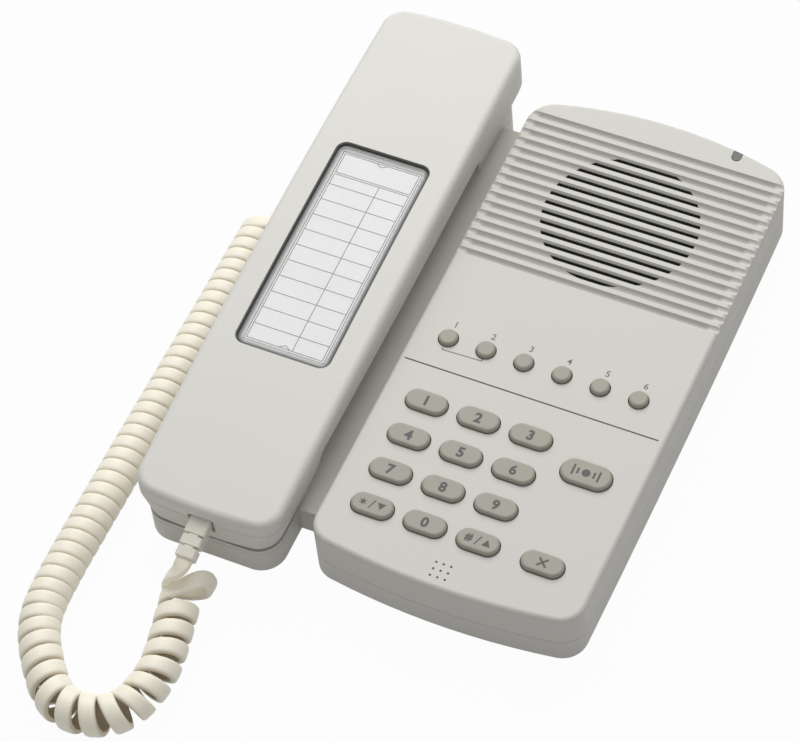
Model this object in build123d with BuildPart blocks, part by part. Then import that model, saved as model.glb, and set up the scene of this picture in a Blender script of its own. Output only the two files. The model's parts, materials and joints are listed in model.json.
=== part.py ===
from build123d import *
from math import ceil, cos, pi, radians, sin, tan
import os

os.makedirs("parts", exist_ok=True)

# Desk intercom master station: a raised panel with speaker grille and keys on the right, and on
# the left a cradle that carries a handset, with a curly cord from the handset to the base.
# Millimetres. The floor is z = 0, the front is -Y, and x = 0, y = 0 is the middle of the station.

# Case heights
foot_height = 3.2
parting_height = 10.0
case_height = 23.8
deck_rise = 1.8
rear_rest_rise = 9.8
wall = 2.2
seam = 0.2
gap = 0.3
touch = 0.02

under_z = foot_height
parting_z = under_z + parting_height
deck_z = parting_z + deck_rise
rest_z = parting_z + rear_rest_rise
panel_z = under_z + case_height
panel_under = panel_z - wall

# Panel plan: straight left side, the other three sides bowed
panel_width = 97.5
panel_length = 208.4
panel_x = 30.65
panel_y = -0.8
panel_front_bow = 4.4
panel_rear_bow = 7.6
panel_side_bow = 0.8
panel_front_corner = 9.0
panel_rear_corner = 11.0
panel_edge = 1.8

panel_left = panel_x - panel_width / 2
panel_right = panel_x + panel_width / 2
panel_front = panel_y - panel_length / 2
panel_rear = panel_y + panel_length / 2

# Cradle plan and the low bridge that joins it to the panel
cradle_width = 49.4
cradle_length = 212.0
cradle_x = -52.7
cradle_y = -2.3
cradle_corner = 9.0
cradle_edge = 1.0
bridge_inset_front = 21.3
bridge_inset_rear = 14.7
bridge_panel_front = 18.0
bridge_panel_rear = 14.4

cradle_left = cradle_x - cradle_width / 2
cradle_right = cradle_x + cradle_width / 2
cradle_front = cradle_y - cradle_length / 2
cradle_rear = cradle_y + cradle_length / 2
bridge_front = max(cradle_front + bridge_inset_front, panel_front + bridge_panel_front)
bridge_rear = min(cradle_rear - bridge_inset_rear, panel_rear - bridge_panel_rear)

# Speaker grille: grooves across the whole panel, slots through the floors of the middle ones
groove_count = 16
groove_pitch = 4.35
groove_width = 2.6
groove_depth = 1.0
groove_radius = (groove_width**2 / 4 + groove_depth**2) / (2 * groove_depth)
groove_first_y = panel_rear - 12.8
slot_skip_rear = 2
slot_skip_front = 1
slot_width = 1.5
slot_circle = 28.1
speaker_x = panel_x
speaker_y = groove_first_y - 33.8

# Speaker
cloth_thickness = 0.4
cloth_recess = 0.6
speaker_radius = 29.8
speaker_flange = 1.2
speaker_depth = 18.5
basket_wall = 1.0
cone_wall = 0.6
magnet_radius = 16.0
magnet_height = 7.0
clamp_screw_circle = 33.4
clamp_boss = 3.0
clamp_screw = 1.1
clamp_head = 4.3
clamp_head_height = 1.4
clamp_screw_bite = 2.2

# Keys
key_pitch_x = 19.2
key_pitch_y = 14.93
key_first_x = panel_x - 31.95
key_first_y = panel_front + 66.2
key_length = 15.1
key_width = 8.0
talk_length = 18.1
talk_width = 9.6
talk_x = panel_x + 29.55
talk_y = panel_front + 59.0
clear_y = key_first_y - 3 * key_pitch_y
function_pitch = 14.07
function_first_x = panel_x - 35.85
function_y = panel_front + 93.5
function_diameter = 6.7
function_count = 6
key_rise = 1.6
key_crown = 1.0
key_gap = 0.35
key_flange = 1.0
key_flange_rim = 1.1
key_stem = 1.0
key_travel = 1.5

# Engraved line between the function keys and the dial
divider_y = panel_front + 80.8
divider_width = 0.6
divider_depth = 0.35
divider_margin = 1.9

# Key mat, board and their columns
dome_radius = 2.4
dome_height = 0.9
mat_thickness = 0.8
board_thickness = 1.6
board_left = panel_left + 3.1
board_right = panel_right - 4.8
board_front = panel_front + 16.4
board_rear = function_y + 7.3
board_column = 1.9
board_screw = 0.8
board_screw_head = 1.7
board_screw_head_height = 1.2
board_screw_bite = 3.0
column_row_y = divider_y - 0.8
column_points = [
    (key_first_x - 11.4, key_first_y - 1.5 * key_pitch_y),
    (talk_x, (talk_y + clear_y) / 2),
    (key_first_x + key_pitch_x / 2, column_row_y),
    (talk_x - 5.2, column_row_y),
]

# Panel microphone
mic_x = panel_x - 0.75
mic_y = panel_front + 6.9
mic_hole_pitch = 2.68
mic_hole = 0.9
mic_radius = 3.0
mic_height = 3.0
boot_wall = 0.9
boot_height = 5.0

# Status lens let into the rear edge of the panel
lens_x = panel_right - 21.0
lens_width = 3.4
lens_front_y = panel_rear - 7.3
lens_drop = 6.0
lens_clear = 0.15

# Case screws and feet
screw_post = 3.3
screw_shank = 1.25
screw_head = 2.6
screw_head_height = 1.8
foot_radius = 6.0
foot_recess = 0.6
post_inset = 7.5
post_points = [
    (panel_left + post_inset, panel_front + 10.8),
    (panel_right - 9.8, panel_front + 12.4),
    (panel_left + post_inset, panel_rear - 15.2),
    (panel_right - 9.8, panel_rear - 18.8),
]
deck_post_points = [(cradle_left + 7.0, cradle_front + 48.3), (cradle_right - 7.0, cradle_rear - 45.7)]
foot_points = [
    (cradle_left + 11.4, cradle_front + 16.3),
    (panel_right - 13.4, panel_front + 21.0),
    (cradle_left + 11.4, cradle_rear - 15.7),
    (panel_right - 13.4, panel_rear - 27.4),
]

# Handset
handset_x = cradle_x
handset_length = 219.2
handset_end_width = 53.4
handset_mid_width = 55.2
handset_end_bow = 1.8
handset_corner = 8.5
past_end = 2.0
handset_top_front = 32.3
handset_top_mid = 40.0
handset_top_rear = 40.9
handset_edge = 2.6
handset_wall = 2.0
draft_z = 25.6
draft_side = 2.6
draft_end = 1.1
rest_gap = 0.7
handset_seam_drop = 6.6
grip_z = 28.6
lobe_slope = 11.0
lobe_blend = 5.0
handset_front = -handset_length / 2
handset_rear = handset_length / 2
front_lobe_z = deck_z + rest_gap
rear_lobe_z = rest_z + rest_gap

# Mouthpiece and earpiece bosses under the handset, and the wells they drop into
mouth_y = max(cradle_front + 10.5, handset_front + 11.8)
mouth_length = 27.0
mouth_width = 10.0
mouth_drop = 5.0
mouth_corner = 4.0
ear_y = min(cradle_rear - 19.6, handset_rear - 25.5)
ear_radius = 14.2
ear_drop = 9.0
front_lobe_end = mouth_y + 15.2
rear_lobe_end = ear_y - 17.5
well_clear = 1.2
well_depth_clear = 1.6
well_wall = 1.6
boss_wall = 1.6
sound_hole = 0.9
ear_capsule_radius = 12.2
ear_capsule_height = 7.5
mouth_capsule_radius = 3.1
mouth_capsule_height = 5.4

handset_post = 3.0
handset_post_x = 20.0
handset_post_front_y = handset_front + 12.6
handset_post_rear_y = handset_rear - 13.6
handset_screw = 0.95
handset_screw_head = 1.9
handset_screw_head_height = 1.4
handset_screw_sink = 3.0
front_screw_top = 29.6
rear_screw_top = 37.4
sound_pitch = 3.4
weight_y = -10.0
weight_width = 20.0
weight_length = 60.0
weight_height = 3.4

# Directory card under its clear cover
card_width = 36.0
card_length = 90.4
card_y = -0.5
card_corner = 4.0
card_gap = 0.5
cover_sink = 0.5
cover_thickness = 1.2
card_thickness = 0.3
tray_wall = 1.6
cover_bevel = 0.8

# Modular plugs and jacks
plug_width = 7.65
plug_height = 6.0
plug_length = 19.0
plug_tilt = 13.0
plug_end_y = handset_front - 13.4
plug_end_z = 21.9
plug_notch_width = 9.5
plug_notch_low = 20.8
plug_notch_top = 28.0
plug_notch_depth = 3.4
latch_rise = 0.8
latch_root = 4.0
contact_length = 5.0
contact_pitch = 1.27
contact_width = 0.5
jack_clear = 0.35
jack_wall = 1.4
handset_jack_width = 12.4
handset_jack_depth = 6.3
handset_jack_low = 18.6
handset_jack_high = 30.2
base_jack_wall = 0.5
base_plug_y = 33.5
base_plug_length = 12.0
base_plug_seat = 7.0
base_jack_length = 14.0
line_jack_x = panel_x + 15.35
line_jack_y = panel_rear - 4.4
line_jack_width = 16.0
line_jack_height = 11.6
line_jack_depth = 16.0
line_jack_nose = 11.2
line_jack_nose_length = 2.6
line_jack_lip = 1.4
line_jack_bore_width = 9.7
line_jack_bore_height = 6.6
line_jack_bore_depth = 12.0
line_jack_z = under_z + wall
base_plug_z = line_jack_z + touch + base_jack_wall + jack_clear + plug_height / 2

# Hook switch
plunger_y = mouth_y + 10.8
plunger_length = 6.5
plunger_width = 3.5
plunger_travel = 3.5
plunger_foot = 1.0
plunger_skirt = 1.2
plunger_low = 8.0
hook_switch_length = 13.0
hook_switch_width = 5.2
hook_switch_height = 2.3

# Curly cord
coil_outer = 14.7
wire_diameter = 3.6
wire_sides = 4
pitch_stretched = 8.0
pitch_closed = 5.05
stretch_until = 54.0
stretch_fade = 40.0
coil_turns = 49
turn_steps = 4
start_turn = 120.0
end_turn = 90.0
lead_diameter = 2.4
run_share = 0.45
least_gap_wanted = 0.4


def place(x, y, z):
    """Plane parallel to the floor with its origin at the given point."""
    return Plane(origin=(x, y, z))


def bowed_block(left, right, front, rear, front_bow, rear_bow, side_bow, corners):
    """Plan with a straight left side and three bowed ones, its corners rounded."""
    middle_x = (left + right) / 2
    middle_y = (front + rear) / 2
    front_y = front + front_bow
    rear_y = rear - rear_bow
    with BuildSketch() as plan:
        with BuildLine():
            ThreePointArc((left, front_y), (middle_x, front), (right, front_y))
            ThreePointArc((right, front_y), (right + side_bow, middle_y), (right, rear_y))
            ThreePointArc((right, rear_y), (middle_x, rear), (left, rear_y))
            Line((left, rear_y), (left, front_y))
        make_face()
        fillet(plan.vertices().sort_by(Axis.Y)[:2], corners[0])
        fillet(plan.vertices().sort_by(Axis.Y)[-2:], corners[1])
    return plan.sketch


def panel_outline(inset=0.0):
    """Plan of the raised panel block, drawn inwards by inset."""
    shrink = 1 - 2 * inset / panel_width
    return bowed_block(
        panel_left + inset,
        panel_right - inset,
        panel_front + inset,
        panel_rear - inset,
        panel_front_bow * shrink**2,
        panel_rear_bow * shrink**2,
        panel_side_bow,
        (panel_front_corner - inset, panel_rear_corner - inset),
    )


def cradle_outline(inset=0.0):
    """Plan of the cradle."""
    with BuildSketch(place(cradle_x, cradle_y, 0)) as plan:
        RectangleRounded(cradle_width - 2 * inset, cradle_length - 2 * inset, cradle_corner - inset)
    return plan.sketch


def base_outline(inset=0.0):
    """Plan of the whole base: panel, cradle and the bridge between them."""
    with BuildSketch() as plan:
        add(panel_outline(inset))
        add(cradle_outline(inset))
        with Locations(((cradle_right + panel_left) / 2, (bridge_front + bridge_rear) / 2)):
            Rectangle(panel_left - cradle_right + 4 * wall, bridge_rear - bridge_front - 2 * inset)
    return plan.sketch


def rest_outline(inset=0.0):
    """Plan of the raised rear end of the cradle, under the handset's earpiece."""
    front_y = rear_lobe_end + gap
    with BuildSketch() as plan:
        add(cradle_outline(inset))
        with Locations((cradle_x, front_y + inset - cradle_length / 2)):
            Rectangle(cradle_width, cradle_length, mode=Mode.SUBTRACT)
    return plan.sketch


def handset_outline(inset=0.0, side_draft=0.0, end_draft=0.0):
    """Plan of the handset, a little wider in the middle, with bowed ends."""
    end = handset_end_width / 2 - inset - side_draft
    middle = handset_mid_width / 2 - inset - side_draft
    front = handset_front + inset + end_draft
    rear = handset_rear - inset - end_draft
    corner_y = rear - handset_end_bow * (2 * end / handset_end_width) ** 2
    with BuildSketch(place(handset_x, 0, 0)) as plan:
        with BuildLine():
            ThreePointArc((-end, -corner_y), (0, front), (end, -corner_y))
            ThreePointArc((end, -corner_y), (middle, 0), (end, corner_y))
            ThreePointArc((end, corner_y), (0, rear), (-end, corner_y))
            ThreePointArc((-end, corner_y), (-middle, 0), (-end, -corner_y))
        make_face()
        fillet(plan.vertices(), handset_corner - inset)
    return plan.sketch


def crown(drop):
    """Arc along the top of the handset in the YZ plane, lowered by drop, past both ends."""
    return ThreePointArc(
        (handset_front - past_end, handset_top_front - drop),
        (0, handset_top_mid - drop),
        (handset_rear + past_end, handset_top_rear - drop),
    )


def crown_band(top_drop, under_drop):
    """Side face between two arcs parallel to the top of the handset."""
    with BuildSketch() as band:
        with BuildLine():
            top = crown(top_drop)
            under = crown(under_drop)
            Line(top @ 0, under @ 0)
            Line(top @ 1, under @ 1)
        make_face()
    return band.sketch


def handset_side(inset=0.0):
    """Side face of the handset: a deep lobe at each end and a thin grip between them."""
    front_step = front_lobe_end - inset
    rear_step = rear_lobe_end + inset
    front_low = front_lobe_z + inset
    rear_low = rear_lobe_z + inset
    grip_low = grip_z + inset
    with BuildSketch() as side:
        with BuildLine():
            top = crown(inset)
            Line(top @ 1, (handset_rear + past_end, rear_low))
            FilletPolyline(
                (handset_rear + past_end, rear_low),
                (rear_step, rear_low),
                (rear_step - lobe_slope / 2, grip_low),
                (front_step + lobe_slope, grip_low),
                (front_step, front_low),
                (handset_front - past_end, front_low),
                radius=lobe_blend,
            )
            Line((handset_front - past_end, front_low), top @ 0)
        make_face()
    return side.sketch


side_plane = Plane.YZ.offset(handset_x)
tall = handset_top_rear + handset_length / 4


def key_list():
    """Every key as (name, x, y, length, width), the function keys being round."""
    names = ["key_1", "key_2", "key_3", "key_4", "key_5", "key_6", "key_7", "key_8", "key_9",
             "key_star", "key_0", "key_hash"]
    keys = []
    for number, name in enumerate(names):
        x = key_first_x + number % 3 * key_pitch_x
        y = key_first_y - number // 3 * key_pitch_y
        keys.append((name, x, y, key_length, key_width))
    keys.append(("key_talk", talk_x, talk_y, talk_length, talk_width))
    keys.append(("key_clear", talk_x, clear_y, key_length, key_width))
    for number in range(function_count):
        x = function_first_x + number * function_pitch
        name = f"function_key_{number + 1}"
        keys.append((name, x, function_y, function_diameter, function_diameter))
    return keys


def key_plan(length, width, grow=0.0):
    """Plan of a key: a stadium, or a circle when its length equals its width."""
    if length > width:
        return SlotOverall(length + 2 * grow, width + 2 * grow)
    return Circle(width / 2 + grow)


# Top case: raised panel, low deck, rear rest, two wells and every opening
board_z = 18.0
board_top = board_z + board_thickness
speaker_flange_z = panel_under - cloth_thickness - speaker_flange
clamp_points = [
    (speaker_x + clamp_screw_circle * cos(radians(turn)), speaker_y + clamp_screw_circle * sin(radians(turn)))
    for turn in (90, 210, 330)
]
line_jack_nose_top = line_jack_z + line_jack_height - line_jack_lip
mouth_well_floor = front_lobe_z - mouth_drop - well_depth_clear
ear_well_floor = rear_lobe_z - ear_drop - well_depth_clear

with BuildPart() as panel_block:
    with BuildSketch(Plane.XY.offset(parting_z)):
        add(panel_outline())
    extrude(amount=panel_z - parting_z)
    fillet(panel_block.faces().sort_by(Axis.Z)[-1].edges(), panel_edge)

with BuildPart() as top_case:
    add(panel_block.part)
    with BuildSketch(Plane.XY.offset(parting_z)):
        add(base_outline())
    extrude(amount=deck_rise)
    with BuildSketch(Plane.XY.offset(parting_z)):
        add(rest_outline())
    extrude(amount=rear_rest_rise)
    fillet(top_case.faces().filter_by(Plane.XY).group_by(Axis.Z)[-2].edges(), cradle_edge)
    with BuildSketch(Plane.XY.offset(parting_z)):
        add(panel_outline(wall))
    extrude(amount=panel_under - parting_z, mode=Mode.SUBTRACT)
    with BuildSketch(Plane.XY.offset(parting_z)):
        add(rest_outline(wall))
    extrude(amount=rear_rest_rise - wall, mode=Mode.SUBTRACT)
    # Well for the mouthpiece boss
    with BuildSketch(place(cradle_x, mouth_y, mouth_well_floor - well_wall)):
        RectangleRounded(
            mouth_length + 2 * well_clear + 2 * well_wall,
            mouth_width + 2 * well_clear + 2 * well_wall,
            mouth_corner + well_clear + well_wall,
        )
    extrude(amount=deck_z - mouth_well_floor)
    with BuildSketch(place(cradle_x, mouth_y, mouth_well_floor)):
        RectangleRounded(
            mouth_length + 2 * well_clear, mouth_width + 2 * well_clear, mouth_corner + well_clear
        )
    extrude(amount=rear_rest_rise, mode=Mode.SUBTRACT)
    # Well for the earpiece boss
    with BuildSketch(place(cradle_x, ear_y, ear_well_floor - well_wall)):
        Circle(ear_radius + well_clear + well_wall)
    extrude(amount=rest_z - ear_well_floor)
    with BuildSketch(place(cradle_x, ear_y, ear_well_floor)):
        Circle(ear_radius + well_clear)
    extrude(amount=rear_rest_rise + ear_drop, mode=Mode.SUBTRACT)
    # Round-bottomed grille grooves run the full width, the slots stop at the speaker's circle
    with BuildSketch(Plane.YZ.offset(panel_x)):
        for number in range(groove_count):
            with Locations((groove_first_y - number * groove_pitch, panel_z - groove_depth + groove_radius)):
                Circle(groove_radius)
    extrude(amount=panel_width, both=True, mode=Mode.SUBTRACT)
    with BuildSketch(place(speaker_x, speaker_y, panel_under)):
        Circle(speaker_radius + touch)
    extrude(amount=cloth_recess, mode=Mode.SUBTRACT)
    with BuildSketch(Plane.XY.offset(panel_under)) as slots:
        for number in range(slot_skip_rear, groove_count - slot_skip_front):
            with Locations((speaker_x, groove_first_y - number * groove_pitch)):
                Rectangle(2 * slot_circle, slot_width)
        with Locations((speaker_x, speaker_y)):
            Circle(slot_circle, mode=Mode.INTERSECT)
    extrude(amount=wall, mode=Mode.SUBTRACT)
    # Engraved divider
    with BuildSketch(place(panel_x, divider_y, panel_z - divider_depth)):
        Rectangle(panel_width - 2 * divider_margin, divider_width)
    extrude(amount=wall, mode=Mode.SUBTRACT)
    # Key openings
    for name, x, y, length, width in key_list():
        with BuildSketch(place(x, y, panel_under)):
            key_plan(length, width, key_gap)
        extrude(amount=wall, mode=Mode.SUBTRACT)
    # Microphone holes
    with BuildSketch(place(mic_x, mic_y, panel_under)):
        with GridLocations(mic_hole_pitch, mic_hole_pitch, 3, 3):
            Circle(mic_hole / 2)
    extrude(amount=wall, mode=Mode.SUBTRACT)
    # Notch for the status lens, open to the top and the rear
    with BuildSketch(place(lens_x, lens_front_y + panel_length / 2, panel_z - lens_drop)):
        SlotOverall(panel_length + 2 * lens_clear, lens_width + 2 * lens_clear, rotation=90)
    extrude(amount=lens_drop, mode=Mode.SUBTRACT)
    # Opening for the hook plunger
    with BuildSketch(place(cradle_x, plunger_y, parting_z)):
        Rectangle(plunger_length + 2 * gap, plunger_width + 2 * gap)
    extrude(amount=deck_rise, mode=Mode.SUBTRACT)
    # Screw columns under the panel and the deck
    with BuildSketch(Plane.XY.offset(parting_z)):
        with Locations(*post_points):
            Circle(screw_post)
    extrude(amount=panel_under - parting_z)
    with BuildSketch(Plane.XY.offset(parting_z - screw_post)):
        with Locations(*deck_post_points):
            Circle(screw_post)
    extrude(amount=screw_post)
    # Columns under the panel for the board, and bosses round the speaker
    with BuildSketch(Plane.XY.offset(board_top + touch)):
        with Locations(*column_points):
            Circle(board_column)
    extrude(amount=panel_under - board_top - touch)
    with BuildSketch(Plane.XY.offset(speaker_flange_z)):
        with Locations(*clamp_points):
            Circle(clamp_boss)
    extrude(amount=panel_under - speaker_flange_z)
    with BuildSketch(Plane.XY.offset(board_top)):
        with Locations(*column_points):
            Circle(board_screw + touch)
    extrude(amount=board_screw_bite, mode=Mode.SUBTRACT)
    with BuildSketch(Plane.XY.offset(speaker_flange_z)):
        with Locations(*clamp_points):
            Circle(clamp_screw + touch)
    extrude(amount=clamp_screw_bite, mode=Mode.SUBTRACT)
    # Upper half of the line jack's opening
    with BuildSketch(place(line_jack_x, panel_rear, parting_z)):
        Rectangle(line_jack_nose + 2 * gap, 6 * wall)
    extrude(amount=line_jack_nose_top + gap - parting_z, mode=Mode.SUBTRACT)
    # Blind holes for the case screws
    with BuildSketch(Plane.XY.offset(parting_z)):
        with Locations(*post_points):
            Circle(screw_shank + touch)
    extrude(amount=screw_post + wall, mode=Mode.SUBTRACT)
    with BuildSketch(Plane.XY.offset(parting_z - screw_post)):
        with Locations(*deck_post_points):
            Circle(screw_shank + touch)
    extrude(amount=screw_post, mode=Mode.SUBTRACT)
top_case.part.label = "top_case"
export_step(top_case.part, "parts/top_case.step")

# Bottom case: tray with columns for the screws and openings for the jacks
base_jack_x = cradle_left + wall + touch
base_plug_x = cradle_left + base_plug_seat - base_plug_length
base_plug_plane = Plane(origin=(base_plug_x, base_plug_y, base_plug_z), x_dir=(0, -1, 0), z_dir=(1, 0, 0))
with BuildPart() as bottom_case:
    with BuildSketch(Plane.XY.offset(under_z)):
        add(base_outline())
    extrude(amount=parting_height - seam)
    with BuildSketch(Plane.XY.offset(under_z + wall)):
        add(base_outline(wall))
    extrude(amount=parting_height, mode=Mode.SUBTRACT)
    with BuildSketch(Plane.XY.offset(under_z)):
        with Locations(*post_points):
            Circle(screw_post)
    extrude(amount=parting_height - seam)
    with BuildSketch(Plane.XY.offset(under_z)):
        with Locations(*deck_post_points):
            Circle(screw_post)
    extrude(amount=parting_height - screw_post - seam)
    with BuildSketch(Plane.XY.offset(under_z)):
        with Locations(*post_points, *deck_post_points):
            Circle(screw_shank + gap)
    extrude(amount=parting_height, mode=Mode.SUBTRACT)
    with BuildSketch(Plane.XY.offset(under_z)):
        with Locations(*post_points, *deck_post_points):
            Circle(screw_head + gap)
    extrude(amount=2 * screw_head_height, mode=Mode.SUBTRACT)
    with BuildSketch(Plane.XY.offset(under_z)):
        with Locations(*foot_points):
            Circle(foot_radius + gap / 2)
    extrude(amount=foot_recess, mode=Mode.SUBTRACT)
    with BuildSketch(base_plug_plane):
        Rectangle(plug_width + 2 * jack_clear, plug_height + 2 * jack_clear)
    extrude(amount=base_plug_length + jack_clear, mode=Mode.SUBTRACT)
    with BuildSketch(place(line_jack_x, panel_rear, line_jack_z + line_jack_lip - gap)):
        Rectangle(line_jack_nose + 2 * gap, 6 * wall)
    extrude(amount=parting_height, mode=Mode.SUBTRACT)
bottom_case.part.label = "bottom_case"
export_step(bottom_case.part, "parts/bottom_case.step")

with BuildPart() as rubber_feet:
    with BuildSketch():
        with Locations(*foot_points):
            Circle(foot_radius - wall / 2)
    extrude(amount=foot_height, taper=-10)
    with BuildSketch(Plane.XY.offset(foot_height)):
        with Locations(*foot_points):
            Circle(foot_radius)
    extrude(amount=foot_recess - touch)
rubber_feet.part.label = "rubber_feet"
export_step(rubber_feet.part, "parts/rubber_feet.step")


def screws(points, seat_z, shank_top, shank, head, head_height):
    """Pan-head screws pointing up, their heads below seat_z."""
    with BuildPart() as built:
        with BuildSketch(Plane.XY.offset(seat_z - head_height)):
            with Locations(*points):
                Circle(head)
        extrude(amount=head_height - touch)
        with BuildSketch(Plane.XY.offset(seat_z - head_height)):
            with Locations(*points):
                Circle(shank)
        extrude(amount=shank_top - seat_z + head_height)
        with BuildSketch(Plane.XY.offset(seat_z - head_height)):
            with Locations(*points):
                Rectangle(head, shank / 2)
                Rectangle(shank / 2, head)
        extrude(amount=head_height / 2, mode=Mode.SUBTRACT)
    return built.part


case_seat_z = under_z + 2 * screw_head_height
panel_screw_top = parting_z + screw_post
deck_screw_top = parting_z - seam
panel_screws = screws(post_points, case_seat_z, panel_screw_top, screw_shank, screw_head, screw_head_height)
deck_screws = screws(deck_post_points, case_seat_z, deck_screw_top, screw_shank, screw_head, screw_head_height)
with BuildPart() as case_screws:
    add(panel_screws)
    add(deck_screws)
case_screws.part.label = "case_screws"
export_step(case_screws.part, "parts/case_screws.step")

# Keys, each with a flange under the panel and a stem over its dome on the mat
for name, x, y, length, width in key_list():
    with BuildPart() as key:
        with BuildSketch(place(x, y, panel_under - gap)):
            key_plan(length, width)
        extrude(amount=wall + gap + key_rise)
        fillet(key.faces().sort_by(Axis.Z)[-1].edges(), key_crown)
        with BuildSketch(place(x, y, panel_under - gap - key_flange)):
            key_plan(length, width, key_flange_rim)
        extrude(amount=key_flange)
        with BuildSketch(place(x, y, panel_under - gap - key_flange - key_stem / 2)):
            Circle(key_stem)
        extrude(amount=key_stem / 2)
    key.part.label = name
    export_step(key.part, f"parts/{name}.step")

# Board, mat and their screws
board_x = (board_left + board_right) / 2
board_y = (board_front + board_rear) / 2
board_width = board_right - board_left
board_length = board_rear - board_front
with BuildPart() as main_board:
    with BuildSketch(place(board_x, board_y, board_z)):
        RectangleRounded(board_width, board_length, board_column)
    extrude(amount=board_thickness)
    with BuildSketch(Plane.XY.offset(board_z)):
        with Locations(*column_points):
            Circle(board_screw + gap)
    extrude(amount=board_thickness, mode=Mode.SUBTRACT)
main_board.part.label = "main_board"
export_step(main_board.part, "parts/main_board.step")

with BuildPart() as key_mat:
    with BuildSketch(place(board_x, board_y, board_top + touch)):
        RectangleRounded(board_width - 2 * board_screw, board_length - 2 * board_screw, board_column)
    extrude(amount=mat_thickness)
    with BuildSketch(Plane.XY.offset(board_top + touch + mat_thickness)):
        with Locations(*[(x, y) for name, x, y, length, width in key_list()]):
            Circle(dome_radius)
    extrude(amount=dome_height, taper=30)
    with BuildSketch(Plane.XY.offset(board_top)):
        with Locations(*column_points):
            Circle(board_column + gap)
    extrude(amount=wall, mode=Mode.SUBTRACT)
key_mat.part.label = "key_mat"
export_step(key_mat.part, "parts/key_mat.step")

board_screws = screws(
    column_points,
    board_z,
    board_top + board_screw_bite - gap,
    board_screw,
    board_screw_head,
    board_screw_head_height,
)
board_screws.label = "board_screws"
export_step(board_screws, "parts/board_screws.step")

# Speaker, from the cloth down to the magnet
with BuildPart() as speaker_cloth:
    with BuildSketch(place(speaker_x, speaker_y, panel_under - cloth_thickness)):
        Circle(speaker_radius)
    extrude(amount=cloth_thickness + cloth_recess - touch)
speaker_cloth.part.label = "speaker_cloth"
export_step(speaker_cloth.part, "parts/speaker_cloth.step")

basket_z = speaker_flange_z + speaker_flange - speaker_depth + magnet_height
speaker_plane = Plane(origin=(speaker_x, speaker_y, 0), x_dir=(1, 0, 0), z_dir=(0, -1, 0))
speaker_axis = Axis((speaker_x, speaker_y, 0), (0, 0, 1))
bowl_radius = speaker_radius - 4 * basket_wall
flange_top = speaker_flange_z + speaker_flange - touch
with BuildPart() as speaker_frame:
    with BuildSketch(speaker_plane):
        with BuildLine():
            Polyline(
                (magnet_radius / 2, basket_z),
                (magnet_radius, basket_z),
                (bowl_radius, speaker_flange_z),
                (speaker_radius, speaker_flange_z),
                (speaker_radius, flange_top),
                (bowl_radius - basket_wall, flange_top),
                (magnet_radius - basket_wall, basket_z + basket_wall),
                (magnet_radius / 2, basket_z + basket_wall),
                close=True,
            )
        make_face()
    revolve(axis=speaker_axis)
speaker_frame.part.label = "speaker_frame"
export_step(speaker_frame.part, "parts/speaker_frame.step")

cone_rim = bowl_radius - 2 * basket_wall
cone_foot = magnet_radius / 2
cone_low = basket_z + 2 * basket_wall
cone_high = flange_top - basket_wall
with BuildPart() as speaker_cone:
    with BuildSketch(speaker_plane):
        with BuildLine():
            Polyline(
                (0, cone_low),
                (cone_foot, cone_low),
                (cone_rim, cone_high),
                (cone_rim - 2 * cone_wall, cone_high),
                (cone_foot, cone_low + 3 * cone_wall),
                (cone_foot / 2, cone_low + 6 * cone_wall),
                (0, cone_low + 7 * cone_wall),
                close=True,
            )
        make_face()
    revolve(axis=speaker_axis)
speaker_cone.part.label = "speaker_cone"
export_step(speaker_cone.part, "parts/speaker_cone.step")

with BuildPart() as speaker_magnet:
    with BuildSketch(place(speaker_x, speaker_y, basket_z - magnet_height)):
        Circle(magnet_radius)
    extrude(amount=magnet_height - touch)
    chamfer(speaker_magnet.edges(), basket_wall / 2)
speaker_magnet.part.label = "speaker_magnet"
export_step(speaker_magnet.part, "parts/speaker_magnet.step")

speaker_screws = screws(
    clamp_points,
    speaker_flange_z,
    speaker_flange_z + clamp_screw_bite - gap,
    clamp_screw,
    clamp_head,
    clamp_head_height,
)
speaker_screws.label = "speaker_screws"
export_step(speaker_screws, "parts/speaker_screws.step")

# Panel microphone in its boot
boot_z = panel_under - boot_height
with BuildPart() as microphone_boot:
    with BuildSketch(place(mic_x, mic_y, boot_z)):
        Circle(mic_radius + boot_wall)
    extrude(amount=boot_height - touch)
    with BuildSketch(place(mic_x, mic_y, boot_z + boot_wall)):
        Circle(mic_radius + touch)
    extrude(amount=boot_height, mode=Mode.SUBTRACT)
microphone_boot.part.label = "microphone_boot"
export_step(microphone_boot.part, "parts/microphone_boot.step")

with BuildPart() as panel_microphone:
    with BuildSketch(place(mic_x, mic_y, boot_z + boot_wall + touch)):
        Circle(mic_radius)
    extrude(amount=mic_height)
    with BuildSketch(place(mic_x, mic_y, boot_z + boot_wall + mic_height)):
        Circle(mic_hole)
    extrude(amount=-mic_hole, mode=Mode.SUBTRACT)
panel_microphone.part.label = "panel_microphone"
export_step(panel_microphone.part, "parts/panel_microphone.step")

# Status lens, cut from the panel's own outer form
with BuildPart() as status_lens:
    add(panel_block.part)
    lens_middle_y = lens_front_y + lens_clear + panel_length / 2
    with BuildSketch(place(lens_x, lens_middle_y, panel_z - lens_drop + lens_clear)):
        SlotOverall(panel_length, lens_width, rotation=90)
    extrude(amount=lens_drop, mode=Mode.INTERSECT)
status_lens.part.label = "status_lens"
export_step(status_lens.part, "parts/status_lens.step")

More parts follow.
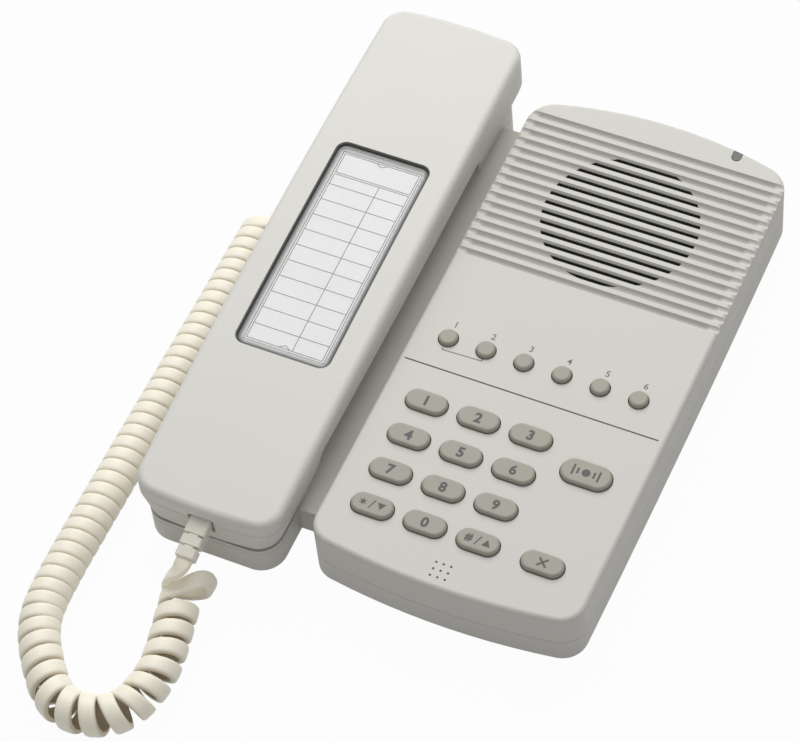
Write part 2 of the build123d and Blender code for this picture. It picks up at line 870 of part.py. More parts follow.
# Hook plunger and the switch under it
with BuildPart() as hook_plunger:
    with BuildSketch(place(cradle_x, plunger_y, plunger_low)):
        Rectangle(plunger_length, plunger_width)
    extrude(amount=deck_z - plunger_low)
    fillet(hook_plunger.faces().sort_by(Axis.Z)[-1].edges(), plunger_skirt / 2)
    with BuildSketch(place(cradle_x, plunger_y, plunger_low)):
        Rectangle(plunger_length + 2 * plunger_skirt, plunger_width)
    extrude(amount=plunger_foot)
hook_plunger.part.label = "hook_plunger"
export_step(hook_plunger.part, "parts/hook_plunger.step")

with BuildPart() as hook_switch:
    with BuildSketch(place(cradle_x, plunger_y, under_z + wall + touch)):
        Rectangle(hook_switch_length, hook_switch_width)
    extrude(amount=hook_switch_height)
    chamfer(hook_switch.edges().filter_by(Axis.Z), gap)
hook_switch.part.label = "hook_switch"
export_step(hook_switch.part, "parts/hook_switch.step")

# Jacks in the base
line_jack_face = line_jack_y + line_jack_nose_length
with BuildPart() as line_jack:
    with BuildSketch(place(line_jack_x, line_jack_y - line_jack_depth / 2, line_jack_z + touch)):
        Rectangle(line_jack_width, line_jack_depth)
    extrude(amount=line_jack_height)
    nose_middle_y = line_jack_y + line_jack_nose_length / 2
    with BuildSketch(place(line_jack_x, nose_middle_y, line_jack_z + line_jack_lip)):
        Rectangle(line_jack_nose, line_jack_nose_length)
    extrude(amount=line_jack_height - 2 * line_jack_lip)
    with BuildSketch(
        place(line_jack_x, line_jack_face - line_jack_bore_depth / 2, line_jack_z + 2 * line_jack_lip)
    ):
        Rectangle(line_jack_bore_width, line_jack_bore_depth)
    extrude(amount=line_jack_bore_height - line_jack_lip / 2, mode=Mode.SUBTRACT)
line_jack.part.label = "line_jack"
export_step(line_jack.part, "parts/line_jack.step")

base_jack_height = base_plug_z + plug_height / 2 + jack_clear + base_jack_wall - line_jack_z - touch
with BuildPart() as base_handset_jack:
    with BuildSketch(place(base_jack_x + base_jack_length / 2, base_plug_y, line_jack_z + touch)):
        Rectangle(base_jack_length, plug_width + 2 * jack_clear + 2 * jack_wall)
    extrude(amount=base_jack_height)
    with BuildSketch(base_plug_plane):
        Rectangle(plug_width + 2 * jack_clear, plug_height + 2 * jack_clear)
    extrude(amount=base_plug_length + jack_clear, mode=Mode.SUBTRACT)
base_handset_jack.part.label = "base_handset_jack"
export_step(base_handset_jack.part, "parts/base_handset_jack.step")


def handset_block(inset=0.0):
    """The handset's outer form, or the space inside its walls when inset is their thickness."""
    with BuildPart() as block:
        with BuildSketch(Plane.XY.offset(front_lobe_z)):
            add(handset_outline(inset, draft_side, draft_end))
        with BuildSketch(Plane.XY.offset(draft_z)):
            add(handset_outline(inset))
        loft(ruled=True)
        with BuildSketch(Plane.XY.offset(draft_z)):
            add(handset_outline(inset))
        extrude(amount=tall)
        with BuildSketch(side_plane):
            add(handset_side(inset))
        extrude(amount=handset_mid_width, both=True, mode=Mode.INTERSECT)
        if not inset:
            fillet(block.faces().sort_by(Axis.Z)[-1].edges(), handset_edge)
    return block.part


def crown_layer(top_drop, under_drop, inset=0.0):
    """Layer parallel to the top of the handset, with the card's plan drawn inwards by inset."""
    with BuildPart() as layer:
        with BuildSketch(side_plane):
            add(crown_band(top_drop, under_drop))
        extrude(amount=handset_mid_width, both=True)
        with BuildSketch(place(handset_x, card_y, 0)):
            RectangleRounded(card_width - 2 * inset, card_length - 2 * inset, card_corner - inset)
        extrude(amount=tall, mode=Mode.INTERSECT)
    return layer.part


def seam_half(top_drop, under_drop):
    """Everything of the handset between two arcs parallel to its top."""
    with BuildPart() as half:
        with BuildSketch(side_plane):
            add(crown_band(top_drop, under_drop))
        extrude(amount=handset_mid_width, both=True)
    return half.part


# Handset: what the two shells share
handset_outer = handset_block()
handset_inner = handset_block(handset_wall)
card_low = cover_sink + cover_thickness + card_thickness + 2 * touch
card_recess = crown_layer(-handset_wall, card_low)
card_tray = crown_layer(handset_wall / 2, card_low + tray_wall, -tray_wall)
upper_half = seam_half(-handset_wall, handset_seam_drop - seam / 2)
lower_half = seam_half(handset_seam_drop + seam / 2, handset_top_rear)
front_posts = [(handset_x + side * handset_post_x, handset_post_front_y) for side in (-1, 1)]
rear_posts = [(handset_x + side * handset_post_x, handset_post_rear_y) for side in (-1, 1)]
plug_plane = Plane(
    origin=(handset_x, plug_end_y, plug_end_z),
    x_dir=(1, 0, 0),
    z_dir=(0, cos(radians(plug_tilt)), sin(radians(plug_tilt))),
)

with BuildPart() as handset_cavity:
    add(handset_inner)
    add(card_tray, mode=Mode.SUBTRACT)
    with BuildSketch(Plane.XY):
        with Locations(*front_posts, *rear_posts):
            Circle(handset_post)
    extrude(amount=tall, mode=Mode.SUBTRACT)

with BuildPart() as plug_notch:
    with BuildSketch(place(handset_x, handset_front, plug_notch_low)):
        Rectangle(plug_notch_width, 2 * plug_notch_depth)
    extrude(amount=plug_notch_top - plug_notch_low)
    with BuildSketch(plug_plane):
        Rectangle(plug_width + 2 * jack_clear, plug_height + 2 * jack_clear)
    extrude(amount=plug_length + jack_clear)

with BuildPart() as handset_upper_shell:
    add(handset_outer)
    add(handset_cavity.part, mode=Mode.SUBTRACT)
    add(card_recess, mode=Mode.SUBTRACT)
    add(plug_notch.part, mode=Mode.SUBTRACT)
    add(upper_half, mode=Mode.INTERSECT)
    with BuildSketch():
        with Locations(*front_posts):
            Circle(handset_screw + touch)
    extrude(amount=front_screw_top + gap, mode=Mode.SUBTRACT)
    with BuildSketch():
        with Locations(*rear_posts):
            Circle(handset_screw + touch)
    extrude(amount=rear_screw_top + gap, mode=Mode.SUBTRACT)
handset_upper_shell.part.label = "handset_upper_shell"
export_step(handset_upper_shell.part, "parts/handset_upper_shell.step")

with BuildPart() as handset_lower_shell:
    add(handset_outer)
    with BuildSketch(place(handset_x, mouth_y, front_lobe_z - mouth_drop)):
        RectangleRounded(mouth_length, mouth_width, mouth_corner)
    extrude(amount=mouth_drop + handset_wall)
    with BuildSketch(place(handset_x, ear_y, rear_lobe_z - ear_drop)):
        Circle(ear_radius)
    extrude(amount=ear_drop + handset_wall)
    add(handset_cavity.part, mode=Mode.SUBTRACT)
    with BuildSketch(place(handset_x, mouth_y, front_lobe_z - mouth_drop + boss_wall)):
        RectangleRounded(mouth_length - 2 * boss_wall, mouth_width - 2 * boss_wall, mouth_corner - boss_wall)
    extrude(amount=mouth_drop + handset_wall, mode=Mode.SUBTRACT)
    with BuildSketch(place(handset_x, ear_y, rear_lobe_z - ear_drop + boss_wall)):
        Circle(ear_radius - boss_wall)
    extrude(amount=ear_drop + handset_wall, mode=Mode.SUBTRACT)
    with BuildSketch(place(handset_x, mouth_y, 0)):
        with GridLocations(sound_pitch, sound_pitch, 5, 1):
            Circle(sound_hole)
    extrude(amount=front_lobe_z, mode=Mode.SUBTRACT)
    with BuildSketch(place(handset_x, ear_y, 0)):
        Circle(sound_hole)
        with PolarLocations(sound_pitch, 6):
            Circle(sound_hole)
        with PolarLocations(2 * sound_pitch, 12):
            Circle(sound_hole)
    extrude(amount=rear_lobe_z, mode=Mode.SUBTRACT)
    add(plug_notch.part, mode=Mode.SUBTRACT)
    add(lower_half, mode=Mode.INTERSECT)
    with BuildSketch(Plane.XY):
        with Locations(*front_posts, *rear_posts):
            Circle(handset_screw + gap)
    extrude(amount=tall, mode=Mode.SUBTRACT)
    with BuildSketch(Plane.XY.offset(front_lobe_z)):
        with Locations(*front_posts):
            Circle(handset_screw_head + gap)
    extrude(amount=handset_screw_sink, mode=Mode.SUBTRACT)
    with BuildSketch(Plane.XY.offset(rear_lobe_z)):
        with Locations(*rear_posts):
            Circle(handset_screw_head + gap)
    extrude(amount=handset_screw_sink, mode=Mode.SUBTRACT)
handset_lower_shell.part.label = "handset_lower_shell"
export_step(handset_lower_shell.part, "parts/handset_lower_shell.step")

front_screws = screws(
    front_posts,
    front_lobe_z + handset_screw_sink,
    front_screw_top,
    handset_screw,
    handset_screw_head,
    handset_screw_head_height,
)
rear_screws = screws(
    rear_posts,
    rear_lobe_z + handset_screw_sink,
    rear_screw_top,
    handset_screw,
    handset_screw_head,
    handset_screw_head_height,
)
with BuildPart() as handset_screws:
    add(front_screws)
    add(rear_screws)
handset_screws.part.label = "handset_screws"
export_step(handset_screws.part, "parts/handset_screws.step")

# Card and its clear cover
with BuildPart() as card_cover:
    add(crown_layer(cover_sink, cover_sink + cover_thickness, card_gap))
    chamfer(card_cover.faces().sort_by(Axis.Z)[-1].edges(), cover_bevel / 2)
card_cover.part.label = "card_cover"
export_step(card_cover.part, "parts/card_cover.step")

directory_card = crown_layer(card_low - card_thickness - touch, card_low - touch, card_gap)
directory_card.label = "directory_card"
export_step(directory_card, "parts/directory_card.step")

# What the handset holds
with BuildPart() as earpiece_capsule:
    with BuildSketch(place(handset_x, ear_y, rear_lobe_z - ear_drop + boss_wall + touch)):
        Circle(ear_capsule_radius)
    extrude(amount=ear_capsule_height)
    chamfer(earpiece_capsule.faces().sort_by(Axis.Z)[-1].edges(), boss_wall)
    with BuildSketch(place(handset_x, ear_y, rear_lobe_z - ear_drop + boss_wall)):
        with PolarLocations(sound_pitch, 6):
            Circle(sound_hole)
    extrude(amount=boss_wall, mode=Mode.SUBTRACT)
earpiece_capsule.part.label = "earpiece_capsule"
export_step(earpiece_capsule.part, "parts/earpiece_capsule.step")

with BuildPart() as handset_microphone:
    with BuildSketch(place(handset_x, mouth_y, front_lobe_z - mouth_drop + boss_wall + touch)):
        Circle(mouth_capsule_radius)
    extrude(amount=mouth_capsule_height)
    with BuildSketch(place(handset_x, mouth_y, front_lobe_z - mouth_drop + boss_wall)):
        Circle(sound_hole)
    extrude(amount=boss_wall, mode=Mode.SUBTRACT)
handset_microphone.part.label = "handset_microphone"
export_step(handset_microphone.part, "parts/handset_microphone.step")

with BuildPart() as handset_weight:
    with BuildSketch(place(handset_x, weight_y, grip_z + handset_wall + touch)):
        RectangleRounded(weight_width, weight_length, handset_post / 2)
    extrude(amount=weight_height)
handset_weight.part.label = "handset_weight"
export_step(handset_weight.part, "parts/handset_weight.step")

jack_y = handset_front + handset_wall + draft_end + gap + handset_jack_depth / 2
with BuildPart() as handset_jack:
    with BuildSketch(place(handset_x, jack_y, handset_jack_low)):
        Rectangle(handset_jack_width, handset_jack_depth)
    extrude(amount=handset_jack_high - handset_jack_low)
    with BuildSketch(plug_plane):
        Rectangle(plug_width + 2 * jack_clear, plug_height + 2 * jack_clear)
    extrude(amount=plug_length + jack_clear, mode=Mode.SUBTRACT)
handset_jack.part.label = "handset_jack"
export_step(handset_jack.part, "parts/handset_jack.step")


def modular_plug(plane, length, label):
    """Clear plug along the plane's normal: a block with a latch tab and a channel for each contact."""
    with BuildPart() as plug:
        with BuildSketch(plane):
            Rectangle(plug_width, plug_height - latch_rise)
        extrude(amount=length)
        with BuildSketch(plane.offset(length - latch_root)):
            with Locations((0, plug_height / 2 - latch_rise / 2)):
                Rectangle(plug_width / 2, latch_rise)
        extrude(amount=latch_root)
        with BuildSketch(plane.offset(length - contact_length)):
            with Locations((0, latch_rise / 2 - plug_height / 2)):
                with GridLocations(contact_pitch, latch_rise, 4, 1):
                    Rectangle(contact_width, latch_rise)
        extrude(amount=contact_length, mode=Mode.SUBTRACT)
    plug.part.label = label
    export_step(plug.part, f"parts/{label}.step")


modular_plug(plug_plane, plug_length, "handset_plug")
modular_plug(base_plug_plane, base_plug_length, "base_plug")


# Curly cord: its route over the table, then a helix of biarcs round that route
coil_route = [
    (-52.6, -130.4, 7.35),
    (-49.1, -145.1, 7.35),
    (-46.7, -160.1, 7.35),
    (-50.6, -175.6, 7.35),
    (-59.9, -181.8, 7.35),
    (-73.0, -182.0, 7.35),
    (-83.4, -171.5, 7.35),
    (-93.1, -157.3, 7.35),
    (-95.3, -142.0, 7.35),
    (-95.0, -100.0, 7.35),
    (-94.2, -40.0, 7.35),
    (-93.6, 19.0, 7.35),
]


def bend_radii(points):
    """Radius of each bend, from the shorter run beside it and the turn it makes."""
    radii = []
    for before, corner, after in zip(points, points[1:], points[2:]):
        run_in = corner - before
        run_out = after - corner
        half_turn = radians(run_in.get_angle(run_out)) / 2
        radii.append(run_share * min(run_in.length, run_out.length) / tan(half_turn))
    return radii


def pitch_at(travel):
    """Advance per turn at a distance along the coil, stretched at the handset's end."""
    fade = min(max((travel - stretch_until) / stretch_fade, 0), 1)
    fade = fade * fade * (3 - 2 * fade)
    return pitch_stretched * (1 - fade) + pitch_closed * fade


def biarc(start, start_direction, end, end_direction):
    """Two tangent arcs that join two points with their directions."""
    chord = end - start
    square = 2 * (1 - start_direction.dot(end_direction))
    linear = 2 * chord.dot(start_direction + end_direction)
    reach = ((linear * linear + 4 * square * chord.dot(chord)) ** 0.5 - linear) / (2 * square)
    middle = (start + start_direction * reach + end - end_direction * reach) * 0.5
    first = Edge.make_tangent_arc(start, start_direction, middle)
    second = Edge.make_tangent_arc(middle, first % 1, end)
    return [first, second]


route_points = [Vector(*point) for point in coil_route]
route_radii = bend_radii(route_points)
with BuildLine() as coil_centre:
    FilletPolyline(*route_points, radius=route_radii)
centre_line = coil_centre.wires()[0]
centre_length = centre_line.length
helix_radius = (coil_outer - wire_diameter) / 2
step_count = turn_steps * coil_turns - 1
step_turn = (360 * coil_turns + end_turn - start_turn) / step_count
travels = [0.0]
for number in range(step_count):
    travels.append(travels[-1] + pitch_at(travels[-1]) * step_turn / 360)
stretch = centre_length / travels[-1]
helix_points = []
helix_directions = []
for number, travel in enumerate(travels):
    along = travel * stretch / centre_length
    turn = radians(start_turn + number * step_turn)
    ahead = centre_line % along
    left = Vector(-ahead.Y, ahead.X, 0)
    up = Vector(0, 0, 1)
    outward = left * cos(turn) + up * sin(turn)
    round_it = up * cos(turn) - left * sin(turn)
    helix_points.append(centre_line @ along + outward * helix_radius)
    advance = round_it * (2 * pi * helix_radius) + ahead * pitch_at(travel) * stretch
    helix_directions.append(advance.normalized())
helix_edges = []
for number in range(step_count):
    helix_edges += biarc(
        helix_points[number], helix_directions[number], helix_points[number + 1], helix_directions[number + 1]
    )
helix = Wire(helix_edges)


def least_gap(wire, width, spacing):
    """Least gap between stretches of the wire more than half a turn apart, measured on points."""
    count = ceil(wire.length / spacing)
    points = wire.positions([number / count for number in range(count + 1)])
    skip = ceil(pi * helix_radius / spacing)
    window = ceil(3 * 2 * pi * helix_radius / spacing)
    least = wire.length
    for number, point in enumerate(points):
        for other in points[number + skip:number + window]:
            least = min(least, (other - point).length)
    return least - width


with BuildPart() as cord_coil:
    with BuildSketch(Plane(origin=helix_points[0], z_dir=helix_directions[0])):
        RegularPolygon(wire_diameter / 2, wire_sides)
    sweep(path=helix, clean=False)
cord_coil.part.label = "cord_coil"
export_step(cord_coil.part, "parts/cord_coil.step")
print("coil route radii", [round(radius, 1) for radius in route_radii], "length", round(centre_length, 1))
print("coil stretch", round(stretch, 4), "wire length", round(helix.length, 1))
coil_gap = least_gap(helix, wire_diameter, wire_diameter / 4)
print("coil least gap", round(coil_gap, 2), "wanted", least_gap_wanted)
section_volume = 2 * (wire_diameter / 2) ** 2 * helix.length
print("coil volume", round(cord_coil.part.volume, 1), "section times length", round(section_volume, 1))

handset_lead_route = [
    (-52.7, -123.0, 21.9),
    (-52.7, -126.5, 21.1),
    (-58.2, -127.4, 14.0),
    (-59.5, -126.0, 4.0),
    (-52.0, -123.5, 1.5),
    (-44.6, -121.5, 4.5),
    (-46.4, -121.8, 13.6),
    (-52.07, -129.31, 14.2),
    (-55.3, -131.04, 12.16),
]
base_lead_route = [
    (-93.6, 19.0, 12.9),
    (-89.01, 19.62, 12.9),
    (-89.0, 33.5, base_plug_z),
    (-82.4, 33.5, base_plug_z),
]
for label, route in (("cord_handset_lead", handset_lead_route), ("cord_base_lead", base_lead_route)):
    lead_points = [Vector(*point) for point in route]
    lead_radii = bend_radii(lead_points)
    with BuildPart() as lead:
        with BuildLine():
            lead_line = FilletPolyline(*lead_points, radius=lead_radii)
        with BuildSketch(Plane(origin=lead_line @ 0, z_dir=lead_line % 0)):
            Circle(lead_diameter / 2)
        sweep()
    lead.part.label = label
    export_step(lead.part, f"parts/{label}.step")
    lead_volume = pi * lead_diameter**2 / 4 * lead_line.length
    print(label, "bend radii", [round(radius, 2) for radius in lead_radii])
    print(label, "volume", round(lead.part.volume, 1), "section times length", round(lead_volume, 1))
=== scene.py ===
"""Desk intercom master station: handset in its cradle, raised panel with grille and keys, curly cord.

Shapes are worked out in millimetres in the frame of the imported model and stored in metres.
"""
import json
import logging
import math
from dataclasses import dataclass
from enum import Enum
from typing import Any, Callable, ClassVar, Sequence

import bmesh
import bpy
import numpy as np
from mathutils import Matrix, Vector


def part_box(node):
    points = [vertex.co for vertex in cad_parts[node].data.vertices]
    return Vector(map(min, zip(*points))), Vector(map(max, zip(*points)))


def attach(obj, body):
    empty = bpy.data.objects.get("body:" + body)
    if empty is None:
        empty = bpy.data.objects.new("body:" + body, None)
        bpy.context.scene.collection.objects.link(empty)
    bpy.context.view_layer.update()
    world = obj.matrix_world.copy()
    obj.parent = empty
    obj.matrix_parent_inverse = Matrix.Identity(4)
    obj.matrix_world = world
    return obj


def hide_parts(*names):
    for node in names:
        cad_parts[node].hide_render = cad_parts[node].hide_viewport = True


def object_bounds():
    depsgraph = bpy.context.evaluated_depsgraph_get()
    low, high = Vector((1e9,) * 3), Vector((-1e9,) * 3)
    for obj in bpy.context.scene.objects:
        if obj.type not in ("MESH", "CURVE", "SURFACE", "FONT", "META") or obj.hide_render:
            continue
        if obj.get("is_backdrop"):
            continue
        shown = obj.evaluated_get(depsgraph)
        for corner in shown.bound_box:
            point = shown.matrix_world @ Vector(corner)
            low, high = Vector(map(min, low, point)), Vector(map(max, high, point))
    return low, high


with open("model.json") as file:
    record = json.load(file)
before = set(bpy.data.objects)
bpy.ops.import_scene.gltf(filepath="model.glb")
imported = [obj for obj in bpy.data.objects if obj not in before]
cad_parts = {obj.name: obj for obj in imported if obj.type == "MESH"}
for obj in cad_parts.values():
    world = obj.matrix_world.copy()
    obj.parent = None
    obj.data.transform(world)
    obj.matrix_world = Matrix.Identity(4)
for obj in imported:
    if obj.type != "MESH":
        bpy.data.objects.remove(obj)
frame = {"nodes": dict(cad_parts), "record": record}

log = logging.getLogger("intercom")
Array = np.ndarray
Node = bpy.types.Node
Socket = bpy.types.NodeSocket
Colour = tuple[float, float, float]
Mesh = tuple[Array, list[tuple[int, ...]]]
MM = 0.001
MERGE_DISTANCE = 2e-6
PLUG_TILT = 13.0
UP = np.array([0.0, 0.0, 1.0])
WHITE = (1.0, 1.0, 1.0, 1.0)


# Shader maths


def maths(operation: str, swapped: bool = False) -> Callable[..., "Value"]:
    """Makes a method of Value that adds a Math node.

    Args:
        operation: the node's operation.
        swapped: whether the other value comes first, as in a reflected form.

    Returns:
        The method; operations on one value leave the other out.
    """

    def method(self: "Value", other: Any = 0.0) -> "Value":
        """Adds the node on this value and another Value or number."""
        values = {0: other, 1: self} if swapped else {0: self, 1: other}
        node = self.shader.node("Math", values, {"operation": operation})
        return Value(self.shader, node.outputs[0])

    return method


class Value:
    """A number socket of a shader tree that takes part in Python arithmetic."""

    def __init__(self, shader: "Shader", socket: Socket) -> None:
        """Keeps the tree and the output socket that holds the number."""
        self.shader = shader
        self.socket = socket

    __add__ = maths("ADD")
    __radd__ = maths("ADD", True)
    __sub__ = maths("SUBTRACT")
    __rsub__ = maths("SUBTRACT", True)
    __mul__ = maths("MULTIPLY")
    __rmul__ = maths("MULTIPLY", True)
    __pow__ = maths("POWER")
    __gt__ = maths("GREATER_THAN")
    __abs__ = maths("ABSOLUTE")
    sine = maths("SINE")
    cosine = maths("COSINE")

    def clamped(self) -> "Value":
        """The value kept from 0 to 1."""
        held = self + 0.0
        held.socket.node.use_clamp = True
        return held


class Shader:
    """The node tree of a material or of the world, with one method that makes every node."""

    def __init__(self, name: str, world: bool = False) -> None:
        """Makes a material or a world with an empty tree.

        Args:
            name: its name.
            world: whether it is a world.
        """
        self.owner = (bpy.data.worlds if world else bpy.data.materials).new(name)
        self.owner.use_nodes = True
        self.tree = self.owner.node_tree
        self.tree.nodes.clear()

    def node(self, kind: str, sockets: dict | None = None, settings: dict | None = None) -> Node:
        """Adds a node, sets it up and fills its sockets.

        Args:
            kind: the node's type, without ShaderNode in front.
            sockets: numbers, colours, Values or output sockets by input name or number.
            settings: its properties.

        Returns:
            The node.
        """
        made = self.tree.nodes.new(f"ShaderNode{kind}")
        for name, value in (settings or {}).items():
            setattr(made, name, value)
        for name, value in (sockets or {}).items():
            source = value.socket if isinstance(value, Value) else value
            if isinstance(source, Socket):
                self.tree.links.new(source, made.inputs[name])
            else:
                made.inputs[name].default_value = source
        return made

    def coordinates(self, kind: str = "Object") -> Socket:
        """The Object coordinates, in metres of the shared frame, or the UV map."""
        return self.node("TexCoord").outputs[kind]

    def parts(self, vector: Socket) -> list[Value]:
        """The three numbers of a vector."""
        split = self.node("SeparateXYZ", {0: vector})
        return [Value(self, split.outputs[name]) for name in "XYZ"]

    def ray(self, kind: str) -> Value:
        """1 for rays of this kind, by the Light Path node's output."""
        return Value(self, self.node("LightPath").outputs[kind])

    def noise(self, scale: float, detail: float = 2.0, rough: float = 0.5, at: Any = None) -> Value:
        """Noise from 0 to 1 over the Object coordinates or others: scale, octaves, their strength."""
        sockets = {"Scale": scale, "Detail": detail, "Roughness": rough, "Vector": at or self.coordinates()}
        return Value(self, self.node("TexNoise", sockets).outputs["Fac"])

    def streaks(self, vector: Socket, scale: Colour, detail: float) -> Value:
        """Noise from 0 to 1 that is drawn out along an axis of these coordinates."""
        drawn = self.node("Mapping", {"Vector": vector, "Scale": scale}).outputs[0]
        return self.noise(1.0, detail, at=drawn)

    def blend(self, factor: Value, first: Any, second: Any) -> Socket:
        """Mixes two colours.

        Args:
            factor: 0 for the first colour, 1 for the second.
            first: a colour or a colour socket.
            second: a colour or a colour socket.

        Returns:
            The mixed colour's socket.
        """
        colours = [(*c, 1.0) if isinstance(c, tuple) else c for c in (first, second)]
        sockets = {0: factor, 6: colours[0], 7: colours[1]}
        return self.node("Mix", sockets, {"data_type": "RGBA"}).outputs[2]

    def bump(self, height: Value, strength: float, distance: float) -> Socket:
        """Bump normal of a height from 0 to 1, which are this distance apart in metres."""
        sockets = {"Height": height, "Strength": strength, "Distance": distance}
        return self.node("Bump", sockets).outputs["Normal"]

    def mixed(self, share: Value, first: Node, second: Node, output: str) -> None:
        """Ends the tree in a mix of two shaders, by the second one's share."""
        both = self.node("MixShader", {0: share, 1: first.outputs[0], 2: second.outputs[0]})
        self.node(output, {"Surface": both.outputs[0]})


def shaded(colour: Colour, *shares: float) -> Colour:
    """A colour times a share, or times one share for each channel."""
    return tuple(part * share for part, share in zip(colour, shares * 3))


# Finishes


@dataclass(frozen=True)
class Finish:
    """A finish with a base colour in linear light, which slow clouds darken a little."""

    name: str
    colour: Colour
    roughness: float = 0.5
    cloud_scale: ClassVar[float] = 90.0
    cloud_shade: ClassVar[float] = 0.94
    roughness_swing: ClassVar[float] = 0.0

    def rough(self, pattern: Value) -> Value:
        """Roughness that swings with a pattern about the finish's own."""
        return self.roughness + (pattern - 0.5) * self.roughness_swing

    def sockets(self, shader: Shader) -> dict[str, Any]:
        """What goes into the Principled BSDF, apart from a uniform roughness.

        Args:
            shader: the material being built.

        Returns:
            Values, colours and sockets by input name.
        """
        cloud = shader.noise(self.cloud_scale)
        return {"Base Color": shader.blend(cloud, self.colour, shaded(self.colour, self.cloud_shade))}

    def material(self) -> bpy.types.Material:
        """Builds the material on its first use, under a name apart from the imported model's.

        Returns:
            The material.
        """
        title = f"{self.name}_finish"
        if title not in bpy.data.materials:
            shader = Shader(title)
            sockets = {"Roughness": self.roughness} | self.sockets(shader)
            surface = shader.node("BsdfPrincipled", sockets)
            shader.node("OutputMaterial", {"Surface": surface.outputs[0]})
        return bpy.data.materials[title]


@dataclass(frozen=True)
class Moulded(Finish):
    """Moulded plastic: a fine spark-eroded grain, faint colour clouds and a soft gloss."""

    grain: float = 2600.0
    depth: float = 0.00002
    clouding: float = 0.03
    gloss: float = 0.35
    cloud_scale: ClassVar[float] = 24.0
    cloud_part: ClassVar[float] = 0.7
    octaves: ClassVar[tuple[float, float]] = (3.0, 0.6)
    roughness_swing: ClassVar[float] = 0.12
    strength: ClassVar[float] = 0.35

    def tinted(self, shader: Shader, plain: Socket) -> Socket:
        """The colour over the surface; subclasses paint shade into the plain one.

        Args:
            shader: the material being built.
            plain: the plain colour.

        Returns:
            The colour's socket.
        """
        return plain

    def sockets(self, shader: Shader) -> dict[str, Any]:
        """Grain as bump and in the roughness; slow clouds in the colour."""
        grain = shader.noise(self.grain, *self.octaves)
        mottle = shader.noise(self.cloud_scale) * self.cloud_part + grain * (1 - self.cloud_part)
        plain = shader.blend(mottle, self.colour, shaded(self.colour, 1 - self.clouding))
        return {
            "Base Color": self.tinted(shader, plain),
            "Roughness": self.rough(grain),
            "Specular IOR Level": self.gloss,
            "Normal": shader.bump(grain, self.strength, self.depth),
        }


@dataclass(frozen=True)
class Gapped(Moulded):
    """Moulded plastic with painted shade where a gap or a groove lies below a level.

    The painted shade is 0 at the level, grows to a share at the depth of a groove and to another
    below it, where slots and gaps are painted nearly black. It only counts inside a plan whose
    front and rear are bowed, so that outer walls keep their colour.
    """

    level: float = 0.027
    groove: float = 0.001
    groove_dark: float = 0.35
    gap_dark: float = 0.96
    box: tuple[float, float, float, float] = (-0.0155, 0.0765, -0.1025, 0.0989)
    bows: tuple[float, float] = (0.0044, 0.0076)
    middle: float = 0.03065
    half: float = 0.04875
    fade: float = 0.0015
    groove_ramp: ClassVar[tuple[float, float]] = (1.1, 0.1)
    gap_ramp: ClassVar[tuple[float, float]] = (3.0, 3.3)
    shade: ClassVar[Colour] = (0.012, 0.012, 0.012)

    def tinted(self, shader: Shader, plain: Socket) -> Socket:
        """The plain colour, blended towards the shade by depth."""
        x, y, z = shader.parts(shader.coordinates())
        left, right, front, rear = self.box
        across = (x - self.middle) * (1 / self.half)
        bulge = across * across
        inside = ((x - left) * (1 / self.fade)).clamped()
        for room in (right - x, y - front - bulge * self.bows[0], rear - y - bulge * self.bows[1]):
            inside = inside * (room * (1 / self.fade)).clamped()
        below = (self.level - z) * (1 / self.groove)
        groove, gap = ((below * gain - start).clamped() for gain, start in (self.groove_ramp, self.gap_ramp))
        # Painted shade: darker with depth in the panel's grooves, slots and gaps.
        dark = inside * (groove * self.groove_dark + gap * (self.gap_dark - self.groove_dark))
        return shader.blend(dark, plain, self.shade)


@dataclass(frozen=True)
class Skirted(Moulded):
    """Moulded plastic with painted shade in a band from a reach below a level to a rise above it."""

    level: float = 0.0268
    rise: float = 0.0010
    dark: float = 0.62
    reach: float = 0.001
    cloud_scale: ClassVar[float] = 140.0
    shade: ClassVar[Colour] = (0.03, 0.03, 0.028)

    def tinted(self, shader: Shader, plain: Socket) -> Socket:
        """The plain colour, blended towards the shade in the band."""
        # Painted shade: the band stands in for the shadow at a part's foot.
        above = shader.parts(shader.coordinates())[2] - self.level
        low = 1.0 - (above * (1 / self.rise)).clamped()
        low = low * ((above + self.reach) * (1 / self.rise)).clamped()
        return shader.blend(low * self.dark, plain, self.shade)


@dataclass(frozen=True)
class Jacket(Finish):
    """Cord jacket: soft vinyl with die lines along the cord, with painted shade at its sides, where
    the turns of the coil face each other, and on the coil's inner side.

    A faint glow stands in for the light that thin vinyl lets through.
    """

    soiling: float = 0.36
    inner_shade: float = 0.70
    glow: float = 0.07
    gloss: float = 0.4
    cloud_scale: ClassVar[float] = 70.0
    roughness_swing: ClassVar[float] = 0.1
    warmth: ClassVar[Colour] = (0.97, 0.95, 0.88)
    soil: ClassVar[Colour] = (0.30, 0.225, 0.125)
    line_scale: ClassVar[Colour] = (40.0, 2.0, 1.0)
    line_octaves: ClassVar[float] = 3.0
    side_power: ClassVar[float] = 5.0
    inner_gain: ClassVar[float] = -2.0
    bump: ClassVar[tuple[float, float]] = (0.25, 0.00003)

    def sockets(self, shader: Shader) -> dict[str, Any]:
        """The first UV number runs once round the jacket's section, the second along the cord."""
        uv = shader.coordinates("UV")
        lines = shader.streaks(uv, self.line_scale, self.line_octaves)
        turn = shader.parts(uv)[0] * (2 * math.pi)
        side = abs(turn.cosine()) ** self.side_power
        inner = (turn.sine() * self.inner_gain).clamped()
        # Painted shade at the sides, where neighbouring turns face each other, and on the coil's inner side.
        shade_share = (side * self.soiling + inner * self.inner_shade).clamped()
        mottle = shader.noise(self.cloud_scale) * 0.5 + lines * 0.5
        plain = shader.blend(mottle, self.colour, shaded(self.colour, *self.warmth))
        colour = shader.blend(shade_share, plain, self.soil)
        return {
            "Base Color": colour,
            "Emission Color": colour,
            "Emission Strength": self.glow,
            "Roughness": self.rough(lines),
            "Specular IOR Level": self.gloss,
            "Normal": shader.bump(lines, *self.bump),
        }


